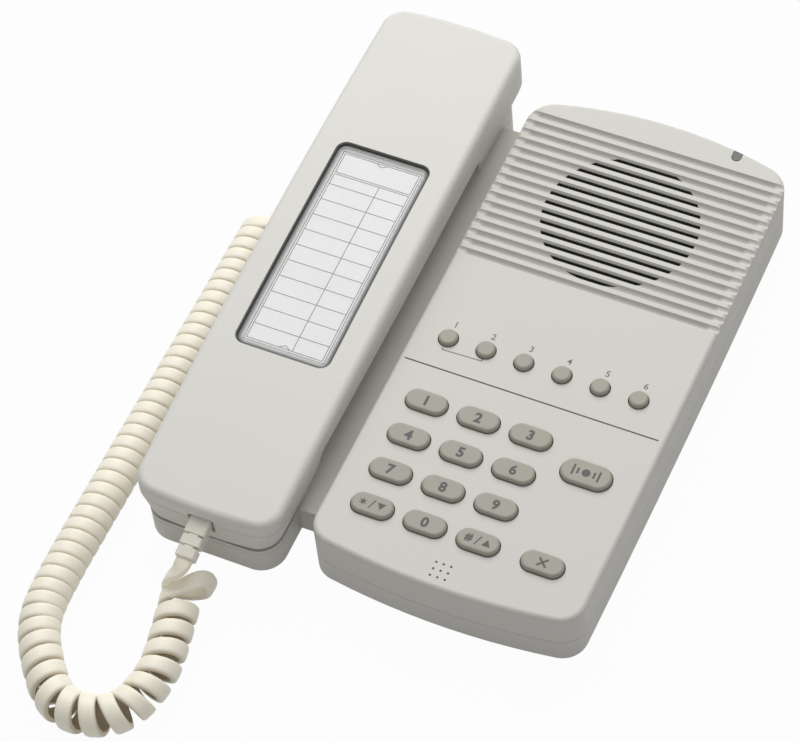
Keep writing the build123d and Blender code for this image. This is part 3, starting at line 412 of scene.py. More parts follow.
@dataclass(frozen=True)
class Woven(Finish):
    """Open woven cloth: threads over and under along X and Y."""

    threads: float = 1400.0
    between: ClassVar[float] = 0.3
    bump: ClassVar[tuple[float, float]] = (0.8, 0.0001)

    def sockets(self, shader: Shader) -> dict[str, Any]:
        """Height is the mean of sin(x)^2 and sin(y)^2 of the thread phase, darker between threads."""
        axes = shader.parts(shader.coordinates())
        x, y = ((axis * (self.threads * math.pi)).sine() for axis in axes[:2])
        weave = x * x * 0.5 + y * y * 0.5
        return {
            "Base Color": shader.blend(weave, shaded(self.colour, self.between), self.colour),
            "Normal": shader.bump(weave, *self.bump),
        }


@dataclass(frozen=True)
class Metal(Finish):
    """Plated or ground metal with brushing along X."""

    brushing: ClassVar[Colour] = (120.0, 4000.0, 4000.0)
    streak_shade: ClassVar[float] = 0.8
    roughness_swing: ClassVar[float] = 0.16

    def sockets(self, shader: Shader) -> dict[str, Any]:
        """Streaks along X vary the roughness and the colour."""
        streaks = shader.streaks(shader.coordinates(), self.brushing, 2.0)
        return {
            "Base Color": shader.blend(streaks, self.colour, shaded(self.colour, self.streak_shade)),
            "Metallic": 1.0,
            "Roughness": self.rough(streaks),
        }


@dataclass(frozen=True)
class Bevelled(Finish):
    """Clear cover whose flat middle is nearly invisible and whose bevel is painted grey, as painted
    shade and dark refraction.
    """

    edge: Colour = (0.23, 0.23, 0.222)
    edge_alpha: float = 0.76
    middle_alpha: float = 0.05
    falloff: float = 0.4
    gloss: float = 0.35
    flow_scale: ClassVar[float] = 160.0
    flow_roughness: ClassVar[float] = 0.03

    def sockets(self, shader: Shader) -> dict[str, Any]:
        """The first UV number runs from 0 at the rim to 1 where the bevel ends."""
        rim = (1.0 - shader.parts(shader.coordinates("UV"))[0]) ** self.falloff
        return {
            # Painted shade: the bevel blends towards grey from its rim inwards.
            "Base Color": shader.blend(rim, self.colour, self.edge),
            "Roughness": self.roughness + shader.noise(self.flow_scale) * self.flow_roughness,
            "Alpha": self.middle_alpha + rim * (self.edge_alpha - self.middle_alpha),
            "Specular IOR Level": self.gloss,
        }


@dataclass(frozen=True)
class Laminate(Finish):
    """Lacquered circuit board with a pattern of tracks."""

    tracks: ClassVar[float] = 2500.0
    track_width: ClassVar[float] = 0.3
    break_scale: ClassVar[float] = 120.0
    break_roughness: ClassVar[float] = 0.1
    track_light: ClassVar[float] = 1.6

    def sockets(self, shader: Shader) -> dict[str, Any]:
        """Tracks are lighter bands of a wave along X, broken by noise."""
        bands = (shader.parts(shader.coordinates())[0] * self.tracks).sine() > self.track_width
        broken = shader.noise(self.break_scale, 1.0) > 0.5
        track = shaded(self.colour, self.track_light)
        return {
            "Base Color": shader.blend(bands * broken, self.colour, track),
            "Roughness": self.roughness + broken * self.break_roughness,
        }


class Look(Enum):
    """Every finish of the station."""

    CASE = Moulded("case_plastic", (0.72, 0.705, 0.655), 0.50)
    # Painted shade in the panel's grooves, slots and gaps.
    PANEL = Gapped("panel_plastic", (0.72, 0.705, 0.655), 0.50)
    HANDSET = Moulded("handset_plastic", (0.80, 0.785, 0.735), 0.50)
    # Painted shadow: a dark band near the lower shell's bottom edge, where it sits on the cradle.
    GRIP = Skirted(
        "grip_plastic", (0.80, 0.785, 0.735), depth=0.0008, level=0.0160, rise=0.0004, dark=0.9, reach=0.0008
    )
    # Painted shade: a dark band round the foot of each key, in its gap in the panel.
    KEY = Skirted("key_plastic", (0.40, 0.385, 0.32), 0.42, 3200.0, 0.000015, 0.06, 0.45, reach=0.000015)
    FELT = Woven("microphone_felt", (0.24, 0.24, 0.235), 0.9, threads=2200.0)
    CORD = Jacket("cord_jacket", (0.98, 0.94, 0.825), 0.42)
    CLOTH = Woven("speaker_cloth", (0.012, 0.012, 0.013), 0.9)
    INK = Finish("legend_ink", (0.12, 0.118, 0.115), 0.6)
    FINE_INK = Finish("panel_ink", (0.20, 0.197, 0.19), 0.6)
    LINE = Finish("divider_ink", (0.16, 0.157, 0.15), 0.7)
    PAPER = Finish("card_paper", (0.97, 0.97, 0.965), 0.75)
    PRINT = Finish("card_print", (0.25, 0.255, 0.26), 0.7)
    # Its bevel's grey is painted shade and refraction.
    COVER = Bevelled("card_cover", (0.93, 0.935, 0.94), 0.06)
    # Painted shade: a dark ring laid in the gap round the card cover.
    SEAL = Moulded("cover_seal", (0.13, 0.13, 0.126), 0.6)
    PLUG = Moulded("clear_plastic", (0.90, 0.865, 0.755), 0.34, grain=1200.0, clouding=0.05, gloss=0.5)
    LENS = Moulded(
        "status_lens", (0.14, 0.14, 0.135), 0.30, grain=900.0, depth=0.00001, clouding=0.1, gloss=0.4
    )
    JACK = Moulded("jack_plastic", (0.02, 0.02, 0.021), 0.45)
    SWITCH = Moulded("switch_plastic", (0.03, 0.03, 0.03), 0.45)
    FOOT = Moulded("foot_rubber", (0.015, 0.015, 0.015), 0.8, grain=900.0, depth=0.00004)
    MAT = Moulded("mat_rubber", (0.10, 0.11, 0.12), 0.75, grain=900.0, depth=0.00004)
    STEEL = Metal("screw_steel", (0.55, 0.55, 0.55), 0.32)
    SPEAKER = Metal("speaker_steel", (0.42, 0.42, 0.42), 0.38)
    CAPSULE = Metal("capsule_metal", (0.68, 0.68, 0.67), 0.35)
    IRON = Metal("weight_iron", (0.20, 0.20, 0.20), 0.6)
    MAGNET = Moulded("magnet_ferrite", (0.02, 0.02, 0.021), 0.6)
    CONE = Moulded("speaker_paper", (0.02, 0.02, 0.02), 0.9, grain=1500.0, depth=0.00005)
    BOARD = Laminate("board_laminate", (0.01, 0.09, 0.03), 0.3)


# Meshes


def quads(rows: int, columns: int) -> list[Sequence[int]]:
    """Quads of a grid of closed rows whose points are numbered row by row.

    Args:
        rows: number of rows.
        columns: points in a row.

    Returns:
        The faces.
    """
    start = np.arange(rows - 1)[:, None] * columns
    here = start + np.arange(columns)
    beside = start + (np.arange(columns) + 1) % columns
    return np.stack([here, beside, beside + columns, here + columns], -1).reshape(-1, 4).tolist()


def tube(rows: int, columns: int) -> list[Sequence[int]]:
    """Quads of closed rows, and a cap on the first row and on the last."""
    last = (rows - 1) * columns
    return quads(rows, columns) + [range(columns)[::-1], range(last, last + columns)]


def torus(rows: int, columns: int) -> list[Sequence[int]]:
    """Quads of closed rows whose last row joins the first."""
    seam = (np.array(quads(2, columns)) + (rows - 1) * columns) % (rows * columns)
    return quads(rows, columns) + seam.tolist()


def added(name: str, data: Any) -> bpy.types.Object:
    """Puts an object into the scene.

    Args:
        name: its name.
        data: its mesh, camera or light.

    Returns:
        The object.
    """
    made = bpy.data.objects.new(name, data)
    bpy.context.scene.collection.objects.link(made)
    return made


def dress(mesh: bpy.types.Mesh, look: Look) -> None:
    """Gives a mesh this finish alone."""
    mesh.materials.clear()
    mesh.materials.append(look.value.material())


def piece(
    name: str,
    points: Array,
    faces: Sequence[Sequence[int]],
    look: Look,
    body: str,
    slot: str,
    sharp: float = 20.0,
    uv: Array | None = None,
) -> bpy.types.Object:
    """Makes a mesh object at the origin that rides on a body.

    Args:
        name: the piece's name.
        points: its vertices in millimetres.
        faces: vertex numbers of each face, outward side anticlockwise.
        look: its finish.
        body: the body it rides on.
        slot: the record's material slot; not used.
        sharp: edges over this angle in degrees stay sharp.
        uv: one UV pair per vertex, or None.

    Returns:
        The object.
    """
    mesh = bpy.data.meshes.new(name)
    places = np.asarray(points, float).reshape(-1, 3) * MM
    mesh.from_pydata(places.tolist(), [], [tuple(face) for face in faces])
    mesh.update()
    if uv is not None:
        layer = mesh.uv_layers.new(name="along")
        corners = np.empty(len(mesh.loops), dtype=np.int32)
        mesh.loops.foreach_get("vertex_index", corners)
        layer.data.foreach_set("uv", np.asarray(uv, np.float32).reshape(-1, 2)[corners].ravel())
    mesh.shade_smooth()
    mesh.set_sharp_from_angle(angle=math.radians(sharp))
    dress(mesh, look)
    made = added(name, mesh)
    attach(made, body)
    return made


def read(store: Any, attribute: str) -> Array:
    """Reads a vector attribute.

    Args:
        store: the collection that has it.
        attribute: its name.

    Returns:
        Rows of three numbers.
    """
    values = np.empty(len(store) * 3, dtype=np.float32)
    store.foreach_get(attribute, values)
    return values.reshape(-1, 3).astype(float)


def meshed(curve: bpy.types.Curve) -> Mesh:
    """Turns a curve or a text into a mesh and deletes it.

    Args:
        curve: the curve.

    Returns:
        Points and faces.
    """
    holder = bpy.data.objects.new(curve.name, curve)
    mesh = bpy.data.meshes.new_from_object(holder)
    points = read(mesh.vertices, "co")
    faces = [tuple(polygon.vertices) for polygon in mesh.polygons]
    bpy.data.meshes.remove(mesh)
    bpy.data.objects.remove(holder)
    bpy.data.curves.remove(curve)
    return points, faces


def body_of(node: str) -> str:
    """The body that holds a CAD node."""
    bodies = frame["record"]["behaviour"]["bodies"]
    return next(body for body, nodes in bodies.items() if node in nodes)


def slot_of(node: str) -> str:
    """The record's material slot of a CAD node."""
    return next(s["material_slot"] for s in frame["record"]["subparts"] if s["node"] == node)


def smooth_copy(node: str, look: Look) -> None:
    """Stands in for a CAD node with a merged copy that keeps the node's own corner normals.

    Args:
        node: the CAD node.
        look: the finish.
    """
    mesh = frame["nodes"][node].data.copy()
    exact = read(mesh.corner_normals, "vector").ravel()
    mesh.attributes.new("exact", "FLOAT_VECTOR", "CORNER").data.foreach_set("vector", exact)
    work = bmesh.new()
    work.from_mesh(mesh)
    bmesh.ops.remove_doubles(work, verts=work.verts, dist=MERGE_DISTANCE)
    work.to_mesh(mesh)
    work.free()
    exact = read(mesh.attributes["exact"].data, "vector")
    mesh.attributes.remove(mesh.attributes["exact"])
    dress(mesh, look)
    mesh.shade_smooth()
    mesh.normals_split_custom_set(exact.tolist())
    made = added(f"{node}_dressed", mesh)
    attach(made, body_of(node))
    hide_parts(node)


def normalised(vectors: Array) -> Array:
    """Vectors of length 1 along the last axis."""
    return vectors / np.maximum(np.linalg.norm(vectors, axis=-1, keepdims=True), 1e-12)


def eased(share: Array) -> Array:
    """A share from 0 to 1 that starts and ends slowly."""
    return share * share * (3 - 2 * share)


def travelled(spots: Array) -> Array:
    """Distance along a line at each of its points."""
    return np.r_[0.0, np.cumsum(np.linalg.norm(np.diff(spots, axis=0), axis=1))]


def plug_axes() -> tuple[Array, Array]:
    """Directions at the handset's plug.

    Returns:
        The directions into it and up across it.
    """
    tilt = math.radians(PLUG_TILT)
    inward = np.array([0.0, math.cos(tilt), math.sin(tilt)])
    return inward, np.array([0.0, -inward[2], inward[1]])


# Cord


@dataclass
class Cord:
    """The curly cord: a lead at each end and a helix of a flat jacket round a route on the table."""

    handset_lead: tuple = (
        (-52.7, -123.0, 21.9), (-52.7, -126.5, 21.1), (-58.2, -127.4, 14.0), (-59.5, -126.0, 4.0),
        (-52.0, -123.5, 1.5), (-44.6, -121.5, 4.5), (-46.4, -121.8, 13.6), (-52.07, -129.31, 14.2),
        (-55.3, -131.04, 12.16),
    )
    coil_route: tuple = (
        (-52.6, -130.4), (-49.1, -145.1), (-46.7, -160.1), (-50.6, -175.6), (-59.9, -181.8),
        (-73.0, -182.0), (-83.4, -171.5), (-93.1, -157.3), (-95.3, -142.0), (-95.0, -100.0),
        (-94.2, -40.0), (-93.6, 19.0),
    )
    base_lead: tuple = (
        (-93.6, 19.0, 12.9), (-89.01, 19.62, 12.9), (-89.0, 33.5, 9.27), (-82.4, 33.5, 9.27),
    )
    coil_height: float = 7.35
    loop_axis: tuple = (-52.2, 0.0, 7.5)
    outer: float = 14.5
    width: float = 5.05
    width_stretched: float = 5.75
    thickness: float = 2.8
    squareness: float = 0.5
    end_radius: float = 5.55
    turns: int = 49
    start_turn: float = 120.0
    end_turn: float = 90.0
    pitch_stretched: float = 7.2
    pitch_closed: float = 5.05
    stretch_until: float = 70.0
    stretch_fade: float = 36.0
    points_per_turn: int = 24
    loop_points: int = 96
    lead_points: int = 28
    lead_fade: float = 0.15
    lead_mark: float = 0.25
    mark_length: float = 10.0
    section_points: int = 18

    def route(self, points: Sequence[Sequence[float]]) -> Array:
        """Follows the smooth NURBS curve with these control points.

        Args:
            points: the control points in millimetres.

        Returns:
            Points on the curve, close together.
        """
        curve = bpy.data.curves.new("route", "CURVE")
        curve.dimensions = "3D"
        curve.resolution_u = 40
        spline = curve.splines.new("NURBS")
        spline.points.add(len(points) - 1)
        spline.points.foreach_set("co", np.c_[np.array(points), np.ones(len(points))].ravel())
        spline.order_u = 3
        spline.use_endpoint_u = True
        return meshed(curve)[0]

    def even(self, line: Array, count: int) -> tuple[Array, Array, Array]:
        """Points at even spacing along a line.

        Args:
            line: points on it.
            count: how many to return.

        Returns:
            Distances along it, points and unit directions.
        """
        along = travelled(line)
        wanted = np.linspace(0.0, along[-1], count)
        spots = np.stack([np.interp(wanted, along, line[:, k]) for k in range(3)], 1)
        return wanted, spots, normalised(np.gradient(spots, axis=0))

    def helix(self) -> tuple[Array, Array, Array]:
        """The jacket's centreline in the coil and the outward normal at each point.

        The turn angle grows by 1 / pitch along the route, and a point lies at
        centre + radius * (left * cos(turn) + up * sin(turn)).

        Returns:
            Points, normals and how closed the coil is at each point, from 0 to 1.
        """
        route = self.route([(x, y, self.coil_height) for x, y in self.coil_route])
        along, centre, ahead = self.even(route, self.turns * self.points_per_turn)
        closed = eased(np.clip((along - self.stretch_until) / self.stretch_fade, 0, 1))
        rate = 1 / (self.pitch_stretched * (1 - closed) + self.pitch_closed * closed)
        grown = np.r_[0.0, np.cumsum((rate[1:] + rate[:-1]) / 2 * np.diff(along))]
        total = 2 * math.pi * self.turns + math.radians(self.end_turn - self.start_turn)
        turn = math.radians(self.start_turn) + total * grown / grown[-1]
        left = normalised(np.stack([-ahead[:, 1], ahead[:, 0], np.zeros(len(ahead))], 1))
        outward = left * np.cos(turn)[:, None] + UP * np.sin(turn)[:, None]
        full = (self.outer - self.thickness) / 2
        from_end = np.minimum(turn - turn[0], turn[-1] - turn)
        ease = eased(np.clip(from_end / (math.pi / 2), 0, 1))
        radius = self.end_radius + (full - self.end_radius) * ease
        return centre + outward * radius[:, None], outward, closed

    def lead(self, points: Sequence, first: Array, last: Array, loops: bool) -> tuple[Array, Array]:
        """A lead's centreline, with normals that turn from one to the other.

        A lead that loops once round an axis has normals pointing away from that axis between
        its ends.

        Args:
            points: its control points.
            first: the normal at its start.
            last: the normal at its end.
            loops: whether it loops.

        Returns:
            Points and normals.
        """
        _, spots, _ = self.even(self.route(points), self.loop_points if loops else self.lead_points)
        share = np.linspace(0, 1, len(spots))[:, None]
        if not loops:
            share = eased(share)
            return spots, normalised(first * (1 - share) + last * share)
        away = normalised((spots - self.loop_axis) * (1, 0, 1))
        leaving = np.clip(share / self.lead_fade, 0, 1)
        joining = np.clip(1 - (1 - share) / self.lead_fade, 0, 1)
        return spots, normalised(first * (1 - leaving) + away * (leaving - joining) + last * joining)

    def build(self) -> None:
        """The section is a superellipse: (w/2 * |cos a|^q, t/2 * |sin a|^q), signed, q the squareness.
        """
        coil, coil_normals, closed = self.helix()
        start, start_normals = self.lead(self.handset_lead, plug_axes()[1], coil_normals[0], True)
        end, end_normals = self.lead(self.base_lead, coil_normals[-1], UP, False)
        spots = np.r_[start[:-1], coil, end[1:]]
        normals = np.r_[start_normals[:-1], coil_normals, end_normals[1:]]
        ahead = normalised(np.gradient(spots, axis=0))
        normals = normalised(normals - (normals * ahead).sum(1, keepdims=True) * ahead)
        across = np.cross(ahead, normals)
        angle = np.linspace(0, 2 * math.pi, self.section_points, endpoint=False)
        wave = np.array([np.cos(angle), np.sin(angle)])
        side, rise = np.sign(wave) * np.abs(wave) ** self.squareness / 2
        closed = np.r_[np.zeros(len(start) - 1), closed, np.ones(len(end) - 1)][:, None, None]
        width = self.width_stretched * (1 - closed) + self.width * closed
        grid = spots[:, None] + across[:, None] * side[:, None] * width
        grid = grid + normals[:, None] * rise[:, None] * self.thickness
        rows, columns = grid.shape[:2]
        row = np.arange(rows)[:, None]
        in_coil = (row >= len(start) - 1) & (row < rows - len(end) + 1)
        # Leads keep the first UV number at lead_mark, where the jacket's painted shade is nil.
        round_section = np.where(in_coil, angle / (2 * math.pi), self.lead_mark)
        along = travelled(spots)
        uv = np.stack(np.broadcast_arrays(round_section, along[:, None] / self.mark_length), -1)
        faces = tube(rows, columns)
        made = piece("curly_cord", grid, faces, Look.CORD, "base", "cord_jacket", 60.0, uv)
        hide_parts("cord_coil", "cord_handset_lead", "cord_base_lead")
        log.info("%s %.0f mm long", made.name, along[-1])


# Printing


def prism(outline: Array, height: float) -> Mesh:
    """A thin plate whose outline runs anticlockwise as seen from above."""
    low = np.c_[outline, np.zeros(len(outline))]
    return np.r_[low, low + UP * height], tube(2, len(outline))


def around(angle: Array, radius: float | Array) -> Array:
    """Points round the origin: radius * (cos a, sin a)."""
    return np.stack([radius * np.cos(angle), radius * np.sin(angle)], 1)


def disc(radius: float, count: int = 28) -> Array:
    """Corners of a regular outline."""
    return around(np.linspace(0, 2 * math.pi, count, endpoint=False), radius)


def bar(start: Sequence[float], end: Sequence[float], width: float) -> Array:
    """A straight bar.

    Args:
        start: the middle of its one end.
        end: the middle of its other end.
        width: its width.

    Returns:
        Its corners.
    """
    start, end = np.array(start, float), np.array(end, float)
    ahead = normalised(end - start)
    side = np.array([-ahead[1], ahead[0]]) * width / 2
    return np.array([start - side, end - side, end + side, start + side])


def figure(text: str, height: float, depth: float, weight: float = 0.04) -> Mesh:
    """A printed figure as a thin plate, centred on the origin.

    Args:
        text: what it says.
        height: its height in millimetres.
        depth: its thickness in millimetres.
        weight: how far its outline is widened, as a share of the type size.

    Returns:
        Points and faces.
    """
    curve = bpy.data.curves.new("figure", "FONT")
    curve.body = text
    curve.offset = weight
    curve.extrude = 0.01
    curve.resolution_u = 3
    points, faces = meshed(curve)
    low, high = points.min(0), points.max(0)
    scale = height / (high[1] - low[1])
    points = (points - (low + high) / 2) * (scale, scale, depth / (high[2] - low[2]))
    return points + UP * depth / 2, faces


def moved(part: Mesh, *by: float) -> Mesh:
    """A mesh moved along x, y and z."""
    return part[0] + by, part[1]


def joined(parts: Sequence[Mesh]) -> Mesh:
    """Puts several meshes into one.

    Args:
        parts: the meshes.

    Returns:
        Points and faces.
    """
    starts = np.cumsum([0] + [len(points) for points, _ in parts])
    faces = [tuple(v + start for v in face) for (_, part), start in zip(parts, starts) for face in part]
    return np.concatenate([points for points, _ in parts]), faces


@dataclass
class Legends:
    """Printed figures and marks on the keys and over the function keys."""

    depth: float = 0.05
    sunk: float = 0.03
    figure_height: float = 4.1
    mark_height: float = 3.1
    hash_weight: float = 0.05
    small_height: float = 2.5
    small_weight: float = 0.015
    over_key: tuple = (0.3, 6.3)
    bracket_gap: tuple = (5.0, 4.5)
    bracket_rise: float = 0.9
    bracket_width: float = 0.38
    sign_x: float = -3.3
    star_waist: float = 0.42
    slash: tuple = ((-0.7, -1.8), (0.7, 1.8), 0.45)
    arrow_x: float = 3.2
    arrow: tuple = (0.85, 0.58)
    dot: float = 1.5
    waves: tuple = ((-4.6, 2.1), (-2.9, 1.2), (2.9, 1.2), (4.6, 2.1))
    stroke: float = 0.75
    cross: tuple = (1.6, 0.27)

    def on_top(self, node: str) -> tuple[float, float, float]:
        """The middle of a node's top in millimetres."""
        low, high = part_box(node)
        return (low[0] + high[0]) / 2 / MM, (low[1] + high[1]) / 2 / MM, high[2] / MM

    def on_key(self, name: str, parts: Sequence[Mesh], node: str) -> None:
        """Prints meshes about the origin on a key as one mark."""
        points, faces = moved(joined(parts), *self.on_top(node))
        piece(f"legend_{name}", points - UP * self.sunk, faces, Look.INK, node, "key_plastic")

    def on_panel(self, name: str, parts: Sequence[Mesh], x: float = 0.0, y: float = 0.0) -> None:
        """Prints meshes about a spot of the panel as one mark."""
        points, faces = moved(joined(parts), x, y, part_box("top_case")[1][2] / MM - self.sunk)
        piece(f"panel_{name}", points, faces, Look.FINE_INK, "base", "case_plastic")

    def plate(self, outline: Array, x: float = 0.0) -> Mesh:
        """A printed outline, moved across."""
        return moved(prism(outline, self.depth), x, 0.0, 0.0)

    def triangle(self, upward: bool) -> Mesh:
        """A solid triangle.

        Args:
            upward: whether it points up the panel, else down.

        Returns:
            Points and faces.
        """
        size = self.mark_height * self.arrow[0]
        half, tip = size * self.arrow[1], size / 2 if upward else -size / 2
        corners = np.array([(-half, -tip), (half, -tip), (0.0, tip)])
        return self.plate(corners if upward else corners[::-1], self.arrow_x)

    def star(self) -> Mesh:
        """A solid star of six points: an outline whose radius alternates.

        Returns:
            Points and faces.
        """
        angle = np.arange(12) * math.pi / 6 + math.pi / 2
        radius = np.where(np.arange(12) % 2, self.star_waist, 1.0) * self.mark_height / 2
        return self.plate(around(angle, radius), self.sign_x)

    def keys(self) -> None:
        """Prints the dial keys and the two side keys."""
        for number in range(10):
            self.on_key(str(number), [figure(str(number), self.figure_height, self.depth)], f"key_{number}")
        slash = self.plate(bar(*self.slash))
        sign = moved(figure("#", self.mark_height, self.depth, self.hash_weight), self.sign_x, 0.0, 0.0)
        self.on_key("star", [self.star(), slash, self.triangle(False)], "key_star")
        self.on_key("hash", [sign, slash, self.triangle(True)], "key_hash")
        waves = [self.plate(disc(self.dot))]
        waves += [self.plate(bar((0, -half), (0, half), self.stroke), x) for x, half in self.waves]
        self.on_key("talk", waves, "key_talk")
        far, near = self.cross
        ends = [((-far, -far), (far, far)), ((-far, far), (-near, near)), ((near, -near), (far, -far))]
        cross = [self.plate(bar(start, end, self.stroke)) for start, end in ends]
        self.on_key("clear", cross, "key_clear")

    def build(self) -> None:
        """Prints every key, then the figures and the bracket by the function keys."""
        self.keys()
        aside, over = self.over_key
        spots = [self.on_top(f"function_key_{number}") for number in range(1, 7)]
        for number, (x, y, _) in enumerate(spots, 1):
            mark = figure(str(number), self.small_height, self.depth, self.small_weight)
            self.on_panel(f"figure_{number}", [mark], x + aside, y + over)
        start = np.array(spots[0][:2]) - (aside, self.bracket_gap[0])
        end = np.array(spots[1][:2]) - (-aside, self.bracket_gap[1])
        rise = (0.0, self.bracket_rise)
        lines = [(start, end), (start, start + rise), (end, end + rise)]
        self.on_panel("bracket", [self.plate(bar(*line, self.bracket_width)) for line in lines])
        log.info("legends on 12 dial keys, 2 side keys and the panel")


@dataclass
class Plug:
    """The handset's modular plug: an ivory block with two waists where the cord is crimped.

    Each station is the distance from the outer end, the width and the height. The latch has two
    distances, a width, a height, how far it lies under the axis and how far it reaches in.
    """

    end: tuple = (-52.7, -123.0, 21.9)
    chamfer: float = 0.5
    latch: tuple = (15.0, 19.0, 3.8, 0.8, 2.6, 0.4)
    stations: tuple = (
        (0.0, 5.9, 3.9), (0.45, 6.9, 4.8), (3.9, 6.9, 4.9), (4.0, 3.6, 4.5), (4.7, 3.6, 4.5),
        (4.8, 7.3, 5.05), (8.1, 7.3, 5.05), (8.2, 3.6, 4.6), (8.9, 3.6, 4.6), (9.0, 7.65, 5.2),
        (19.0, 7.65, 5.2),
    )

    def ring(self, along: float, width: float, height: float, lift: float = 0.0) -> Array:
        """An outline with cut corners across the plug.

        Args:
            along: distance from the plug's outer end.
            width: its width.
            height: its height.
            lift: how far its middle lies above the plug's axis.

        Returns:
            Its eight points.
        """
        half = np.array([width, height]) / 2
        cut = half - self.chamfer
        flat = np.array([(half[0], cut[1]), (cut[0], half[1]), (-cut[0], half[1]), (-half[0], cut[1])])
        flat = np.r_[flat, -flat]
        inward, up = plug_axes()
        sideways = np.array([1.0, 0.0, 0.0])
        return np.array(self.end) + inward * along + flat[:, :1] * sideways + (flat[:, 1:] + lift) * up

    def block(self, rings: Sequence[Array]) -> Mesh:
        """A closed solid through these rings."""
        return np.concatenate(rings), [face[::-1] for face in tube(len(rings), len(rings[0]))]

    def build(self) -> None:
        """The block and its latch, in place of the CAD plug."""
        start, stop, width, height, below, into = self.latch
        lift = into - below - height / 2
        body = self.block([self.ring(*station) for station in self.stations])
        tab = self.block([self.ring(along, width, height + 2 * into, lift) for along in (start, stop)])
        made = piece("ribbed_plug", *joined([body, tab]), Look.PLUG, "handset", "clear_plastic", 25.0)
        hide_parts("handset_plug")
        log.info("plug with %d stations", len(self.stations))


@dataclass
class PanelTrim:
    """Trim of the panel: the line in the divider groove and the felt behind the microphone holes."""

    sides: tuple = (-18.1, 79.4)
    margin: float = 2.3
    divider_y: float = -24.2
    divider_width: float = 0.5
    divider_drop: float = 0.22
    divider_depth: float = 0.06
    hole: float = 0.9
    pitch: float = 2.68
    microphone: tuple = (29.9, -98.1)
    felt_room: float = 0.01
    felt_drop: float = 0.12
    felt_depth: float = 0.1

    def build(self) -> None:
        """Lays the line and the nine felt discs just below the panel's surface."""
        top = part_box("top_case")[1][2] / MM
        left, right = self.sides[0] + self.margin, self.sides[1] - self.margin
        outline = bar((left, self.divider_y), (right, self.divider_y), self.divider_width)
        line = moved(prism(outline, self.divider_depth), 0.0, 0.0, top - self.divider_drop)
        piece("divider_line", *line, Look.LINE, "base", "case_plastic")
        x, y = self.microphone
        steps = (-self.pitch, 0.0, self.pitch)
        plate = prism(disc(self.hole / 2 - self.felt_room, 20), self.felt_depth)
        bottom = top - self.felt_drop - self.felt_depth
        discs = [moved(plate, x + across, y + down, bottom) for across in steps for down in steps]
        piece("microphone_felt", *joined(discs), Look.FELT, "base", "speaker_cloth")
        log.info("panel trim with %d felt discs", len(discs))


